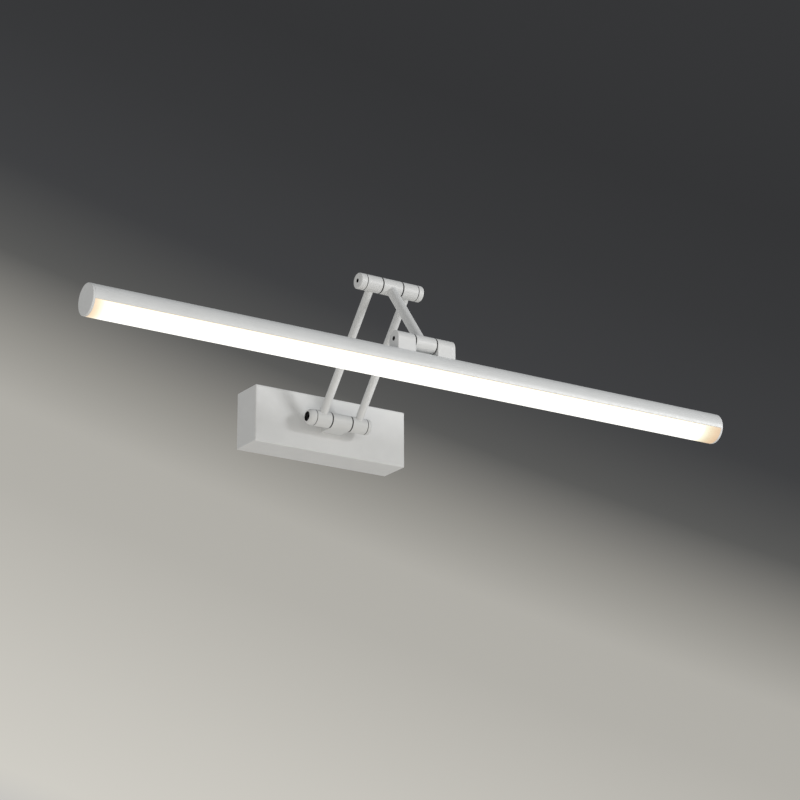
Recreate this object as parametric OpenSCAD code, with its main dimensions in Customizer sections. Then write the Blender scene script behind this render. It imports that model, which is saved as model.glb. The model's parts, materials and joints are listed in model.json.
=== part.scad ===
// Wall-mounted picture light: a slim LED tube on a folding arm with three friction hinges.
// X runs along the tube, +Y points into the wall, +Z is up. The origin is the centre of the
// face that lies on the wall.

/* [Wall housing] */
// Width of the housing
housing_w = 172; // [150:1:220]
// Height of the housing
housing_h = 58; // [48:1:80]
// Depth of the housing, from the wall to its front face
housing_d = 36; // [32:1:60]
// Wall thickness of the housing
housing_wall = 1.6; // [1.2:0.1:2.2]
// Radius of the housing's outer edges
housing_edge_r = 1.3; // [0.6:0.1:2.5]

/* [Wall bracket] */
// Thickness of the bracket sheet
bracket_t = 1.6; // [1.2:0.1:2]
// Distance between the two wall screw slots
slot_spacing = 120; // [100:1:144]
// Width of a wall screw slot
slot_w = 5; // [4:0.1:6]
// End-to-end length of a wall screw slot
slot_len = 14; // [8:0.5:20]
// Radius of the cable hole in the grommet
cable_r = 5; // [3.5:0.1:5.5]
// Height of the cable hole below the bracket's middle
cable_drop = 12; // [11:0.5:13]

/* [Arms] */
// Hinge to hinge length of the lower arm
lower_len = 145.2; // [110:0.2:190]
// Lean of the lower arm, forward from upright
lower_lean = 39.8; // [25:0.1:50]
// Hinge to hinge length of the upper arm
upper_len = 95; // [75:0.5:120]
// Lean of the upper arm, forward from straight down
upper_lean = 37.3; // [25:0.1:45]
// Radius of each of the two lower rods
rod_r = 4; // [3.5:0.1:4.5]
// Distance of each lower rod from the middle plane
rod_x = 20.4; // [18.5:0.1:22]
// Radius of the upper arm tube
arm_r = 5; // [4:0.1:6]
// Wall thickness of the arm tubes
arm_wall = 1.6; // [1:0.1:1.8]

/* [Hinges] */
// Radius of the hinge barrels
barrel_r = 8; // [7.5:0.1:10]
// Distance from the housing's front face to the base hinge axis
base_reach = 15; // [12:0.5:24]
// Half width of the centre knuckle of the base hinge and the elbow
centre_half = 10.9; // [9.5:0.1:12]
// Half width of the centre knuckle of the head hinge
head_half = 11.3; // [10:0.1:12.5]
// Gap between two knuckles, filled by a friction washer
knuckle_gap = 1; // [0.8:0.1:1.4]
// Distance from the middle plane to the outer end of the side knuckles
side_end = 28.9; // [27.5:0.1:32]
// Chamfer on the knuckle edges
edge_chamfer = 0.5; // [0.3:0.1:0.8]
// Width of the groove between a side knuckle and its end cap
seam = 0.4; // [0.2:0.1:0.6]
// Radius of the hinge bolts
bolt_r = 2.5; // [2:0.1:3]

/* [Barrel end caps] */
// Distance from the middle plane to the face of the base hinge's left cap
base_left_end = 36.8; // [36:0.1:39]
// Distance from the middle plane to the face of the base hinge's right cap
base_right_end = 34.4; // [34.2:0.1:38]
// Distance from the middle plane to the face of the elbow's left cap
elbow_left_end = 36.5; // [34.5:0.1:39]
// Distance from the middle plane to the face of the elbow's right cap
elbow_right_end = 35.2; // [34.2:0.1:39]
// Radius of the mouth that shows the base hinge bolt
bolt_mouth_r = 4.7; // [4.6:0.1:5]
// Radius of the key hole in the elbow's left cap
key_hole_r = 2; // [1.5:0.1:2.3]

/* [Lamp tube] */
// Length of the lamp tube, over its end caps
tube_len = 700; // [400:10:900]
// Outer radius of the lamp tube
tube_r = 15; // [13.5:0.1:18]
// Wall thickness of the aluminium profile
tube_wall = 1.8; // [1.4:0.1:2.2]
// Angle of the profile's lower edges below the horizontal
split_angle = 11.5; // [8:0.5:15]
// Thickness of the diffuser
diffuser_t = 2.2; // [1.8:0.1:2.4]
// Thickness of the end cap discs
end_disc_t = 2.5; // [1.5:0.1:4]
// Gap between the head's centre knuckle and the tube below it
head_gap = 1.5; // [0.8:0.1:4]
// Length of each ear along the tube
ear_len = 19.8; // [18:0.1:26]
// Radius of the head pin
head_pin_r = 2.2; // [1.8:0.1:2.5]
// Width of the LED board
board_w = 12; // [8:0.5:14]
// Spacing of the LEDs along the board
led_pitch = 14; // [8:0.5:25]
// Length at each end of the tube that has no LEDs
dark_end = 16; // [12:1:40]

/* [Driver] */
// Length of the LED driver
driver_len = 104; // [80:1:126]
// Height of the LED driver
driver_h = 18; // [12:1:18]
// Depth of the LED driver
driver_d = 20; // [14:1:22]

/* [Hidden] */
$fn = 72;

white = [0.90, 0.90, 0.89];
steel = [0.70, 0.71, 0.73];
dark = [0.09, 0.09, 0.10];
opal = [1.00, 0.99, 0.95];
copper_green = [0.16, 0.38, 0.26];

// Small overlap that keeps cuts from ending on a face
eps = 0.1;
// Radial clearance of a pin or bolt that turns in its hole
run_gap = 0.05;
// Radial clearance of a piece that is fitted into another of the same arm
fit_gap = 0.02;
// Clearance between sheet parts that slide into each other
sheet_gap = 0.4;
// Clearance of a screw in its hole
screw_gap = 0.2;
// Side clearance of a friction washer
washer_gap = 0.05;
// Step back of a friction washer from the barrel's surface
washer_step = 0.3;
// Steps of a rounded edge
round_steps = 10;

// Hinge axes in the middle plane
base_y = -housing_d - base_reach;
base_z = 0;
elbow_y = base_y - lower_len * sin(lower_lean);
elbow_z = base_z + lower_len * cos(lower_lean);
head_y = elbow_y - upper_len * sin(upper_lean);
head_z = elbow_z - upper_len * cos(upper_lean);
head_drop = barrel_r + head_gap + tube_r;
tube_z = head_z - head_drop;

// Side knuckles, their sockets for rods, bolt heads and caps
side_start = centre_half + knuckle_gap;
socket_wall = 2.7;
socket_floor = bolt_r + socket_wall;
counterbore_rim = 1.8;
counterbore_r = barrel_r - counterbore_rim;
counterbore_depth = 2.5;
seam_depth = 1;
cap_neck_r = barrel_r - seam_depth;
cap_spigot = 2.3;
cap_wall = 1.4;
bolt_head_r = bolt_r + 1.8;
bolt_head_h = 5;
nut_r = bolt_r + 2.1;
nut_h = 5;
nut_gap = 0.35;
nut_room_r = nut_r + nut_gap;
bolt_tip = 0.5;
bolt_end = side_end - counterbore_depth + nut_h + bolt_tip;
base_head_rise = 1.3;
base_head_seat = side_end + base_head_rise;
hex_socket_r = 2.3;
hex_socket_depth = 3;

// Rounded edges of the four caps: length along the axis and width across the face
base_dome_start = 2.1;
base_mouth_rim = 0.5;
base_left_edge = [base_left_end - side_end - base_dome_start, barrel_r - bolt_mouth_r - base_mouth_rim];
base_right_edge = [3, 2.8];
elbow_left_edge = [1.3, 1.3];
elbow_right_edge = [1.8, 1.6];

// Wall bracket tabs and housing screws
inner_w = housing_w - 2 * housing_wall;
inner_h = housing_h - 2 * housing_wall;
plate_w = inner_w - 2 * sheet_gap;
plate_h = inner_h - 2 * sheet_gap;
tab_z = (plate_h - bracket_t) / 2;
tab_x = slot_spacing / 2;
tab_w = 16;
tab_depth = 15;
tab_screw_y = -9;
tab_screw_len = 6;
tab_screw_sink = 0.2;
tab_screw_hex = 1;
m3_r = 1.5;
m3_head_r = 2.8;
m4_r = 2;
m4_head_r = 3.5;
m4_head_h = 2.6;
grommet_lip = 1.5;
grommet_lip_t = 1.2;
grommet_wall = 2;

// Earth stud, terminal block, driver and their leads
earth_x = -32;
earth_stud_len = 12;
terminal_w = 24;
terminal_h = 14;
terminal_d = 14;
terminal_x = 20;
terminal_poles = 3;
terminal_pitch = terminal_w / terminal_poles;
terminal_wire_r = 1.8;
terminal_wire_depth = 4;
terminal_screw_r = 2.2;
terminal_screw_depth = 4;
lead_r = 1.4;
lead_gap = 0.4;
lead_end_gap = 1;
lead_inset = 4;
lead_hole_r = 2;
driver_top_gap = 1.4;
driver_room = plate_h / 2 - bracket_t - driver_h - lead_r - base_z;
driver_gap = min(driver_top_gap, driver_room / 2);
driver_z = plate_h / 2 - bracket_t - driver_gap - driver_h;
driver_foot = 8;
driver_foot_t = 2;
driver_head_h = 2;
driver_screw_x = (driver_len + driver_foot) / 2;
driver_screw_z = driver_z + driver_h - m3_head_r - screw_gap;

// Screws and lead hole in the root of the base hinge block
block_screw_x = 6.4;
block_screw_depth = 7;
block_lead_depth = 5;
blind_gap = 0.5;

// Ears, their screws and the head pin
ear_start = head_half + knuckle_gap;
ear_end = ear_start + ear_len;
ear_screw_inset = 5.5;
pin_wall = 1.6;
ear_screw_x = [ear_start + ear_screw_inset, ear_end - ear_screw_inset];
pin_recess = 0.5;
pin_blind = 3.5;
pin_socket_r = 1.3;

// Lamp tube section
split_z = -tube_r * sin(split_angle);
inner_tube_r = tube_r - tube_wall;
web_z = 0.5;
web_t = 1.6;
split_gap = 0.2;
tongue_gap = 0.1;
tongue_t = 1.2;
tongue_top = -0.4;
tongue_deep = 3;
board_t = 1.6;
led_size = [3.5, 2.8, 0.8];
profile_len = tube_len - 2 * end_disc_t;
lit_len = tube_len - 2 * dark_end;
led_count = floor((lit_len - led_pitch) / led_pitch) + 1;
plug_len = 6;
plug_gap = 0.15;
ear_screw_seat = sqrt(pow(inner_tube_r, 2) - pow(m4_head_r, 2)) - fit_gap;
ear_screw_top = head_drop - head_pin_r - pin_wall;
head_lead_start = ear_end + lead_inset;
head_lead_end = lit_len / 2 - led_pitch / 2;

// ---------------------------------------------------------------- shared shapes

// Places children at a hinge axis.
module at_hinge(y, z) {
    translate([0, y, z]) children();
}

// A round bar along X from x0 to x1.
module bar_x(x0, x1, r) {
    translate([min(x0, x1), 0, 0]) rotate([0, 90, 0]) cylinder(h = abs(x1 - x0), r = r);
}

// A ring turned about the X axis from [radius, x] points.
module turned(points) {
    rotate([0, 90, 0]) rotate_extrude() polygon(points);
}

// A barrel piece from x0 to x1 with chamfered edges and a bore.
module knuckle(x0, x1, r, bore, edge) {
    turned([
        [bore, x0],
        [r - edge, x0],
        [r, x0 + edge],
        [r, x1 - edge],
        [r - edge, x1],
        [bore, x1]
    ]);
}

// A blind socket for an arm tube, square to the hinge axis and leaning by tilt.
module arm_socket(x, r, tilt) {
    translate([x, 0, 0]) rotate([tilt, 0, 0]) translate([0, 0, socket_floor])
        cylinder(h = barrel_r, r = r + fit_gap);
}

// A hollow arm tube whose ends stand in two sockets.
module arm_tube(x, len, r) {
    translate([x, 0, socket_floor]) difference() {
        cylinder(h = len - 2 * socket_floor, r = r);
        translate([0, 0, -eps]) cylinder(h = len - 2 * socket_floor + 2 * eps, r = r - arm_wall);
    }
}

// A lead that lies inside an arm tube.
module arm_lead(x, len, r) {
    lead = min(lead_r, r - arm_wall - lead_gap);
    start = socket_floor + lead_end_gap;
    translate([x, 0, start]) cylinder(h = len - 2 * start, r = lead);
}

// A side knuckle for the right-hand side, with rod socket and cap seat.
module side_knuckle(tilt) {
    difference() {
        knuckle(side_start, side_end, barrel_r, bolt_r + run_gap, edge_chamfer);
        bar_x(side_end - counterbore_depth, side_end + eps, counterbore_r);
        arm_socket(rod_x, rod_r, tilt);
    }
}

// Outline of a cap's outer edge as [radius, x] points, an elliptical quarter turn.
function cap_edge(face, depth, width) = [
    for (i = [0 : round_steps])
        let (a = 90 * i / round_steps)
        [barrel_r - width + width * cos(a), face - depth + depth * sin(a)]
];

// A cup-shaped barrel cap for the right-hand side, with a hole in its face.
module barrel_cap(face, edge, hole, room_r, room_end) {
    seat = side_end + seam;
    turned(concat(
        [
            [hole, room_end],
            [room_r, room_end],
            [room_r, side_end - cap_spigot],
            [counterbore_r - fit_gap, side_end - cap_spigot],
            [counterbore_r - fit_gap, side_end],
            [cap_neck_r, side_end],
            [cap_neck_r, seat],
            [barrel_r - edge_chamfer, seat],
            [barrel_r, seat + edge_chamfer]
        ],
        cap_edge(face, edge[0], edge[1]),
        [[hole, face]]
    ));
}

// A closed cup-shaped barrel cap for the right-hand side.
module closed_cap(face, edge) {
    barrel_cap(face, edge, 0, nut_room_r, face - cap_wall);
}

// A socket-head bolt along X: its head from x0 towards +X, its shank up to x1.
module socket_bolt(x0, x1, shank_r) {
    difference() {
        union() {
            bar_x(x0, x0 + bolt_head_h, bolt_head_r);
            bar_x(x0 + bolt_head_h - eps, x1, shank_r);
        }
        translate([x0 - eps, 0, 0]) rotate([0, 90, 0])
            cylinder(h = hex_socket_depth + eps, r = hex_socket_r, $fn = 6);
    }
}

// A hexagon nut on the X axis.
module nut_x(x0) {
    difference() {
        translate([x0, 0, 0]) rotate([0, 90, 0]) cylinder(h = nut_h, r = nut_r, $fn = 6);
        bar_x(x0 - eps, x0 + nut_h + eps, bolt_r + fit_gap);
    }
}

// Two friction washers, one on each side of a centre knuckle.
module washer_pair(half, bore) {
    for (side = [0, 1])
        mirror([side, 0, 0])
            turned([
                [bore, half + washer_gap],
                [barrel_r - washer_step, half + washer_gap],
                [barrel_r - washer_step, half + knuckle_gap - washer_gap],
                [bore, half + knuckle_gap - washer_gap]
            ]);
}

// A machine screw pointing along +Z with its head below z = 0.
module pan_screw(shank, shank_r, head_r, head_h) {
    translate([0, 0, -head_h]) cylinder(h = head_h, r = head_r);
    translate([0, 0, -eps]) cylinder(h = shank + eps, r = shank_r);
}

// Extrudes a section drawn in Y and Z along X, centred on the middle plane.
module along_x(len) {
    translate([-len / 2, 0, 0]) rotate([90, 0, 90]) linear_extrude(height = len) children();
}

// ---------------------------------------------------------------- wall bracket and housing

// A tab folded forward from the bracket's top or bottom edge.
module bracket_tab(z) {
    translate([-tab_w / 2, -tab_depth, z - bracket_t / 2]) cube([tab_w, tab_depth, bracket_t]);
}

module wall_bracket() {
    color(steel) difference() {
        union() {
            translate([-plate_w / 2, -bracket_t, -plate_h / 2]) cube([plate_w, bracket_t, plate_h]);
            for (x = [-tab_x, tab_x])
                for (z = [-tab_z, tab_z])
                    translate([x, 0, 0]) bracket_tab(z);
        }
        for (x = [-tab_x, tab_x]) {
            wall_slot(x);
            translate([x, tab_screw_y, tab_z - bracket_t]) cylinder(h = 2 * bracket_t, r = m3_r + fit_gap);
        }
        translate([0, eps, -cable_drop]) rotate([90, 0, 0])
            cylinder(h = bracket_t + 2 * eps, r = cable_r + grommet_wall + fit_gap);
        earth_place() cylinder(h = bracket_t + 2 * eps, r = m4_r + fit_gap);
        for (x = [-driver_screw_x, driver_screw_x])
            translate([x, eps, driver_screw_z]) rotate([90, 0, 0])
                cylinder(h = bracket_t + 2 * eps, r = m3_r + fit_gap);
    }
}

// A horizontal slot with round ends through the bracket.
module wall_slot(x) {
    reach = (slot_len - slot_w) / 2;
    translate([x, eps, 0]) {
        for (s = [-reach, reach])
            translate([s, 0, 0]) rotate([90, 0, 0]) cylinder(h = bracket_t + 2 * eps, r = slot_w / 2);
        translate([-reach, -bracket_t - 2 * eps, -slot_w / 2])
            cube([2 * reach, bracket_t + 2 * eps, slot_w]);
    }
}

module cable_grommet() {
    lip_r = cable_r + grommet_wall + grommet_lip;
    color(dark) translate([0, 0, -cable_drop]) rotate([90, 0, 0]) difference() {
        union() {
            cylinder(h = bracket_t + grommet_lip_t, r = cable_r + grommet_wall);
            translate([0, 0, bracket_t]) cylinder(h = grommet_lip_t, r = lip_r);
        }
        translate([0, 0, -eps]) cylinder(h = bracket_t + grommet_lip_t + 2 * eps, r = cable_r);
    }
}

// Places children on the earth stud's axis, which points away from the wall.
module earth_place() {
    translate([earth_x, eps, -cable_drop]) rotate([90, 0, 0]) children();
}

module earth_stud() {
    nut_t = 3.2;
    nut_corner_r = 4;
    washer_t = 1;
    washer_r = 4.5;
    color(steel) translate([0, -eps, 0]) earth_place() {
        cylinder(h = earth_stud_len, r = m4_r);
        translate([0, 0, bracket_t]) cylinder(h = washer_t, r = washer_r);
        translate([0, 0, bracket_t + washer_t]) cylinder(h = nut_t, r = nut_corner_r, $fn = 6);
    }
}

module terminal_block() {
    z0 = -cable_drop - terminal_h / 2;
    front = -bracket_t - terminal_d;
    color(white) difference() {
        translate([terminal_x, front, z0]) cube([terminal_w, terminal_d, terminal_h]);
        for (i = [0 : terminal_poles - 1])
            translate([terminal_x + terminal_pitch * (i + 0.5), front, 0]) {
                translate([0, terminal_d / 2, z0 - eps])
                    cylinder(h = terminal_wire_depth + eps, r = terminal_wire_r);
                translate([0, terminal_screw_depth, -cable_drop]) rotate([90, 0, 0])
                    cylinder(h = terminal_screw_depth + eps, r = terminal_screw_r);
            }
    }
}

module led_driver() {
    color(white) difference() {
        union() {
            translate([-driver_len / 2, -bracket_t - driver_d, driver_z])
                cube([driver_len, driver_d, driver_h]);
            translate([-driver_len / 2 - driver_foot, -bracket_t - driver_foot_t, driver_z])
                cube([driver_len + 2 * driver_foot, driver_foot_t, driver_h]);
        }
        for (x = [-driver_screw_x, driver_screw_x])
            translate([x, 0, driver_screw_z]) rotate([90, 0, 0])
                cylinder(h = bracket_t + driver_foot_t + eps, r = m3_r + screw_gap);
    }
}

module driver_screws() {
    shank = driver_foot_t + bracket_t;
    color(steel)
        for (x = [-driver_screw_x, driver_screw_x])
            translate([x, -shank, driver_screw_z]) rotate([-90, 0, 0])
                pan_screw(shank, m3_r, m3_head_r, driver_head_h);
}

// Two short leads from the terminal block up to the driver.
module mains_leads() {
    z0 = -cable_drop + terminal_h / 2;
    color(dark)
        for (i = [0, terminal_poles - 1])
            translate([terminal_x + terminal_pitch * (i + 0.5), -bracket_t - terminal_d / 2, z0])
                cylinder(h = driver_z - z0, r = lead_r);
}

// The low-voltage lead from the driver into the base hinge block.
module output_lead() {
    drop_y = -bracket_t - driver_d + lead_inset;
    reach = drop_y + housing_d + block_lead_depth;
    color(dark) translate([0, drop_y, base_z]) {
        cylinder(h = driver_z - base_z, r = lead_r);
        sphere(r = lead_r);
        rotate([90, 0, 0]) cylinder(h = reach, r = lead_r);
    }
}

module base_housing() {
    r = housing_edge_r;
    cavity_d = housing_d - housing_wall;
    color(white) difference() {
        hull()
            for (x = [-housing_w / 2 + r, housing_w / 2 - r])
                for (z = [-housing_h / 2 + r, housing_h / 2 - r])
                    translate([x, 0, z]) {
                        translate([0, -housing_d + r, 0]) sphere(r = r, $fn = 32);
                        rotate([90, 0, 0]) cylinder(h = eps, r = r, $fn = 32);
                    }
        translate([-inner_w / 2, -cavity_d, -inner_h / 2]) cube([inner_w, cavity_d + eps, inner_h]);
        for (x = [-tab_x, tab_x])
            translate([x, tab_screw_y, housing_h / 2 - housing_wall - eps]) {
                cylinder(h = housing_wall + 2 * eps, r = m3_r + screw_gap);
                translate([0, 0, eps])
                    cylinder(h = housing_wall + eps, r1 = m3_r + screw_gap, r2 = m3_head_r + eps);
            }
        for (x = [-block_screw_x, block_screw_x])
            translate([x, -cavity_d + eps, base_z]) rotate([90, 0, 0])
                cylinder(h = housing_wall + 2 * eps, r = m4_r + screw_gap);
        translate([0, -cavity_d + eps, base_z]) rotate([90, 0, 0])
            cylinder(h = housing_wall + 2 * eps, r = lead_hole_r);
    }
}

// Countersunk screws through the top of the housing into the bracket tabs.
module housing_screws() {
    color(white)
        for (x = [-tab_x, tab_x])
            translate([x, tab_screw_y, housing_h / 2]) rotate([180, 0, 0]) difference() {
                union() {
                    cylinder(h = housing_wall - tab_screw_sink, r1 = m3_head_r, r2 = m3_r);
                    cylinder(h = tab_screw_len, r = m3_r);
                }
                translate([0, 0, -eps]) cylinder(h = tab_screw_hex + eps, r = tab_screw_hex, $fn = 6);
            }
}

// ---------------------------------------------------------------- base hinge

// The centre knuckle with the square root that stands on the housing.
module base_pivot_block() {
    e = edge_chamfer;
    root = [
        [-centre_half, -barrel_r + e],
        [-centre_half + e, -barrel_r],
        [centre_half - e, -barrel_r],
        [centre_half, -barrel_r + e],
        [centre_half, barrel_r - e],
        [centre_half - e, barrel_r],
        [-centre_half + e, barrel_r],
        [-centre_half, barrel_r - e]
    ];
    color(white) at_hinge(base_y, base_z) difference() {
        union() {
            knuckle(-centre_half, centre_half, barrel_r, 0, e);
            translate([0, base_reach, 0]) rotate([90, 0, 0])
                linear_extrude(height = base_reach) polygon(root);
        }
        bar_x(-centre_half - eps, centre_half + eps, bolt_r + run_gap);
        for (x = [-block_screw_x, block_screw_x])
            translate([x, base_reach + eps, 0]) rotate([90, 0, 0])
                cylinder(h = block_screw_depth + blind_gap + eps, r = m4_r + fit_gap);
        translate([0, base_reach + eps, 0]) rotate([90, 0, 0])
            cylinder(h = block_lead_depth + blind_gap + eps, r = lead_hole_r);
    }
}

module block_screws() {
    color(steel)
        for (x = [-block_screw_x, block_screw_x])
            translate([x, -housing_d + housing_wall, base_z]) rotate([90, 0, 0])
                pan_screw(housing_wall + block_screw_depth, m4_r, m4_head_r, m4_head_h);
}

module base_right_knuckle() {
    color(white) at_hinge(base_y, base_z) side_knuckle(lower_lean);
}

module base_left_knuckle() {
    color(white) at_hinge(base_y, base_z) mirror([1, 0, 0]) side_knuckle(lower_lean);
}

// The left cap is a deep dome whose open mouth shows the bolt head.
module base_left_cap() {
    color(white) at_hinge(base_y, base_z) mirror([1, 0, 0])
        barrel_cap(base_left_end, base_left_edge, bolt_mouth_r, bolt_r + run_gap, base_head_seat);
}

module base_right_cap() {
    color(white) at_hinge(base_y, base_z) closed_cap(base_right_end, base_right_edge);
}

module base_bolt() {
    color(dark) at_hinge(base_y, base_z) socket_bolt(-base_head_seat - bolt_head_h, bolt_end, bolt_r);
}

module base_nut() {
    color(steel) at_hinge(base_y, base_z) nut_x(side_end - counterbore_depth);
}

module base_washers() {
    color(dark) at_hinge(base_y, base_z) washer_pair(centre_half, bolt_r + run_gap);
}

// ---------------------------------------------------------------- lower arm

// Places children on the lower arm's line, with Z running up the arm.
module on_lower_arm() {
    at_hinge(base_y, base_z) rotate([lower_lean, 0, 0]) children();
}

module left_rod() {
    color(white) on_lower_arm() arm_tube(-rod_x, lower_len, rod_r);
}

module right_rod() {
    color(white) on_lower_arm() arm_tube(rod_x, lower_len, rod_r);
}

module rod_lead() {
    color(dark) on_lower_arm() arm_lead(-rod_x, lower_len, rod_r);
}

// ---------------------------------------------------------------- elbow

module elbow_right_knuckle() {
    color(white) at_hinge(elbow_y, elbow_z) side_knuckle(180 + lower_lean);
}

module elbow_left_knuckle() {
    color(white) at_hinge(elbow_y, elbow_z) mirror([1, 0, 0]) side_knuckle(180 + lower_lean);
}

module elbow_left_cap() {
    color(white) at_hinge(elbow_y, elbow_z) mirror([1, 0, 0])
        barrel_cap(elbow_left_end, elbow_left_edge, key_hole_r, nut_room_r, elbow_left_end - cap_wall);
}

module elbow_right_cap() {
    color(white) at_hinge(elbow_y, elbow_z) closed_cap(elbow_right_end, elbow_right_edge);
}

module elbow_bolt() {
    head = -side_end + counterbore_depth - bolt_head_h;
    color(dark) at_hinge(elbow_y, elbow_z) socket_bolt(head, bolt_end, bolt_r);
}

module elbow_nut() {
    color(steel) at_hinge(elbow_y, elbow_z) nut_x(side_end - counterbore_depth);
}

module elbow_washers() {
    color(dark) at_hinge(elbow_y, elbow_z) washer_pair(centre_half, bolt_r + run_gap);
}

module elbow_centre_knuckle() {
    color(white) at_hinge(elbow_y, elbow_z) difference() {
        knuckle(-centre_half, centre_half, barrel_r, bolt_r + run_gap, edge_chamfer);
        arm_socket(0, arm_r, 180 - upper_lean);
    }
}

// ---------------------------------------------------------------- upper arm

// Places children on the upper arm's line, with Z running down the arm.
module on_upper_arm() {
    at_hinge(elbow_y, elbow_z) rotate([180 - upper_lean, 0, 0]) children();
}

module upper_arm_tube() {
    color(white) on_upper_arm() arm_tube(0, upper_len, arm_r);
}

module upper_lead() {
    color(dark) on_upper_arm() arm_lead(0, upper_len, arm_r);
}

module head_centre_knuckle() {
    color(white) at_hinge(head_y, head_z) difference() {
        knuckle(-head_half, head_half, barrel_r, head_pin_r + run_gap, edge_chamfer);
        arm_socket(0, arm_r, -upper_lean);
    }
}

// ---------------------------------------------------------------- lamp head

// The right-hand ear: round on top, flat sides, and a saddle that sits on the tube.
module ear(pin_end) {
    e = edge_chamfer;
    root = [
        [ear_start, -barrel_r + e],
        [ear_start + e, -barrel_r],
        [ear_end - e, -barrel_r],
        [ear_end, -barrel_r + e],
        [ear_end, barrel_r - e],
        [ear_end - e, barrel_r],
        [ear_start + e, barrel_r],
        [ear_start, barrel_r - e]
    ];
    difference() {
        union() {
            knuckle(ear_start, ear_end, barrel_r, 0, e);
            translate([0, 0, -head_drop]) linear_extrude(height = head_drop) polygon(root);
        }
        translate([0, 0, -head_drop]) bar_x(ear_start - eps, ear_end + eps, tube_r + fit_gap);
        bar_x(ear_start - eps, pin_end, head_pin_r + run_gap);
        for (x = ear_screw_x)
            translate([x, 0, -head_drop]) cylinder(h = ear_screw_top + blind_gap, r = m4_r + fit_gap);
    }
}

module right_ear() {
    color(white) at_hinge(head_y, head_z) ear(ear_end - pin_blind);
}

module left_ear() {
    color(white) at_hinge(head_y, head_z) mirror([1, 0, 0]) ear(ear_end + eps);
}

// Screws from inside the profile up into the ears.
module ear_screws() {
    shank = ear_screw_top - ear_screw_seat;
    color(steel) at_hinge(head_y, tube_z)
        for (side = [-1, 1])
            for (x = ear_screw_x)
                translate([side * x, 0, ear_screw_seat]) pan_screw(shank, m4_r, m4_head_r, m4_head_h);
}

module head_pin() {
    color(dark) at_hinge(head_y, head_z) difference() {
        bar_x(-ear_end + pin_recess, ear_end - pin_blind - blind_gap, head_pin_r);
        translate([-ear_end + pin_recess - eps, 0, 0]) rotate([0, 90, 0])
            cylinder(h = hex_socket_depth + eps, r = pin_socket_r, $fn = 6);
    }
}

module head_washers() {
    color(dark) at_hinge(head_y, head_z) washer_pair(head_half, head_pin_r + run_gap);
}

// Section of the aluminium profile: the upper shell and the web that carries the board.
module profile_section() {
    intersection() {
        difference() {
            circle(r = tube_r);
            circle(r = inner_tube_r);
        }
        translate([-tube_r, split_z]) square(2 * tube_r);
    }
    intersection() {
        circle(r = tube_r - tube_wall / 2);
        translate([-tube_r, web_z]) square([2 * tube_r, web_t]);
    }
}

module tube_profile() {
    color(white) at_hinge(head_y, tube_z) difference() {
        along_x(profile_len) profile_section();
        for (side = [-1, 1])
            for (x = ear_screw_x)
                translate([side * x, 0, web_z + web_t + eps]) cylinder(h = tube_r, r = m4_r + screw_gap);
        translate([head_lead_end, 0, web_z - eps]) cylinder(h = web_t + 2 * eps, r = lead_hole_r);
    }
}

// Section of the diffuser: the lower shell and two tongues inside the profile.
module diffuser_section() {
    tongue_r = inner_tube_r - tongue_gap;
    difference() {
        union() {
            intersection() {
                circle(r = tube_r);
                translate([-tube_r, split_z - split_gap - 2 * tube_r]) square(2 * tube_r);
            }
            intersection() {
                circle(r = tongue_r);
                translate([-tube_r, split_z - tongue_deep])
                    square([2 * tube_r, tongue_top - split_z + tongue_deep]);
            }
        }
        intersection() {
            circle(r = tube_r - diffuser_t);
            translate([-tube_r, -2 * tube_r]) square([2 * tube_r, 2 * tube_r + split_z - tongue_deep]);
        }
        intersection() {
            circle(r = tongue_r - tongue_t);
            translate([-tube_r, split_z - tongue_deep - eps]) square([2 * tube_r, tube_r]);
        }
    }
}

module diffuser() {
    color(opal) at_hinge(head_y, tube_z) along_x(profile_len) diffuser_section();
}

module led_board() {
    color(copper_green) at_hinge(head_y, tube_z)
        translate([-lit_len / 2, -board_w / 2, web_z - board_t]) cube([lit_len, board_w, board_t]);
}

module leds() {
    color(opal) at_hinge(head_y, tube_z)
        for (i = [0 : led_count - 1])
            translate([
                (i - (led_count - 1) / 2) * led_pitch - led_size[0] / 2,
                -led_size[1] / 2,
                web_z - board_t - led_size[2]
            ]) cube(led_size);
}

// The right-hand end cap: a disc and a plug that stands in the profile above the web.
module end_cap() {
    e = edge_chamfer;
    turned([
        [0, tube_len / 2 - end_disc_t],
        [tube_r - e, tube_len / 2 - end_disc_t],
        [tube_r, tube_len / 2 - end_disc_t + e],
        [tube_r, tube_len / 2 - e],
        [tube_r - e, tube_len / 2],
        [0, tube_len / 2]
    ]);
    translate([tube_len / 2 - end_disc_t - plug_len, 0, 0]) rotate([90, 0, 90])
        linear_extrude(height = plug_len + eps) intersection() {
            circle(r = inner_tube_r - plug_gap);
            translate([-tube_r, web_z + web_t + plug_gap]) square([2 * tube_r, tube_r]);
        }
}

module right_end_cap() {
    color(white) at_hinge(head_y, tube_z) end_cap();
}

module left_end_cap() {
    color(white) at_hinge(head_y, tube_z) mirror([1, 0, 0]) end_cap();
}

// The lead along the top of the web, ending at the board through a hole in the web.
module head_lead() {
    z = web_z + web_t + lead_r;
    color(dark) at_hinge(head_y, tube_z) {
        translate([0, 0, z]) bar_x(head_lead_start, head_lead_end, lead_r);
        translate([head_lead_end, 0, z]) sphere(r = lead_r);
        translate([head_lead_end, 0, web_z]) cylinder(h = z - web_z, r = lead_r);
    }
}

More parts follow.
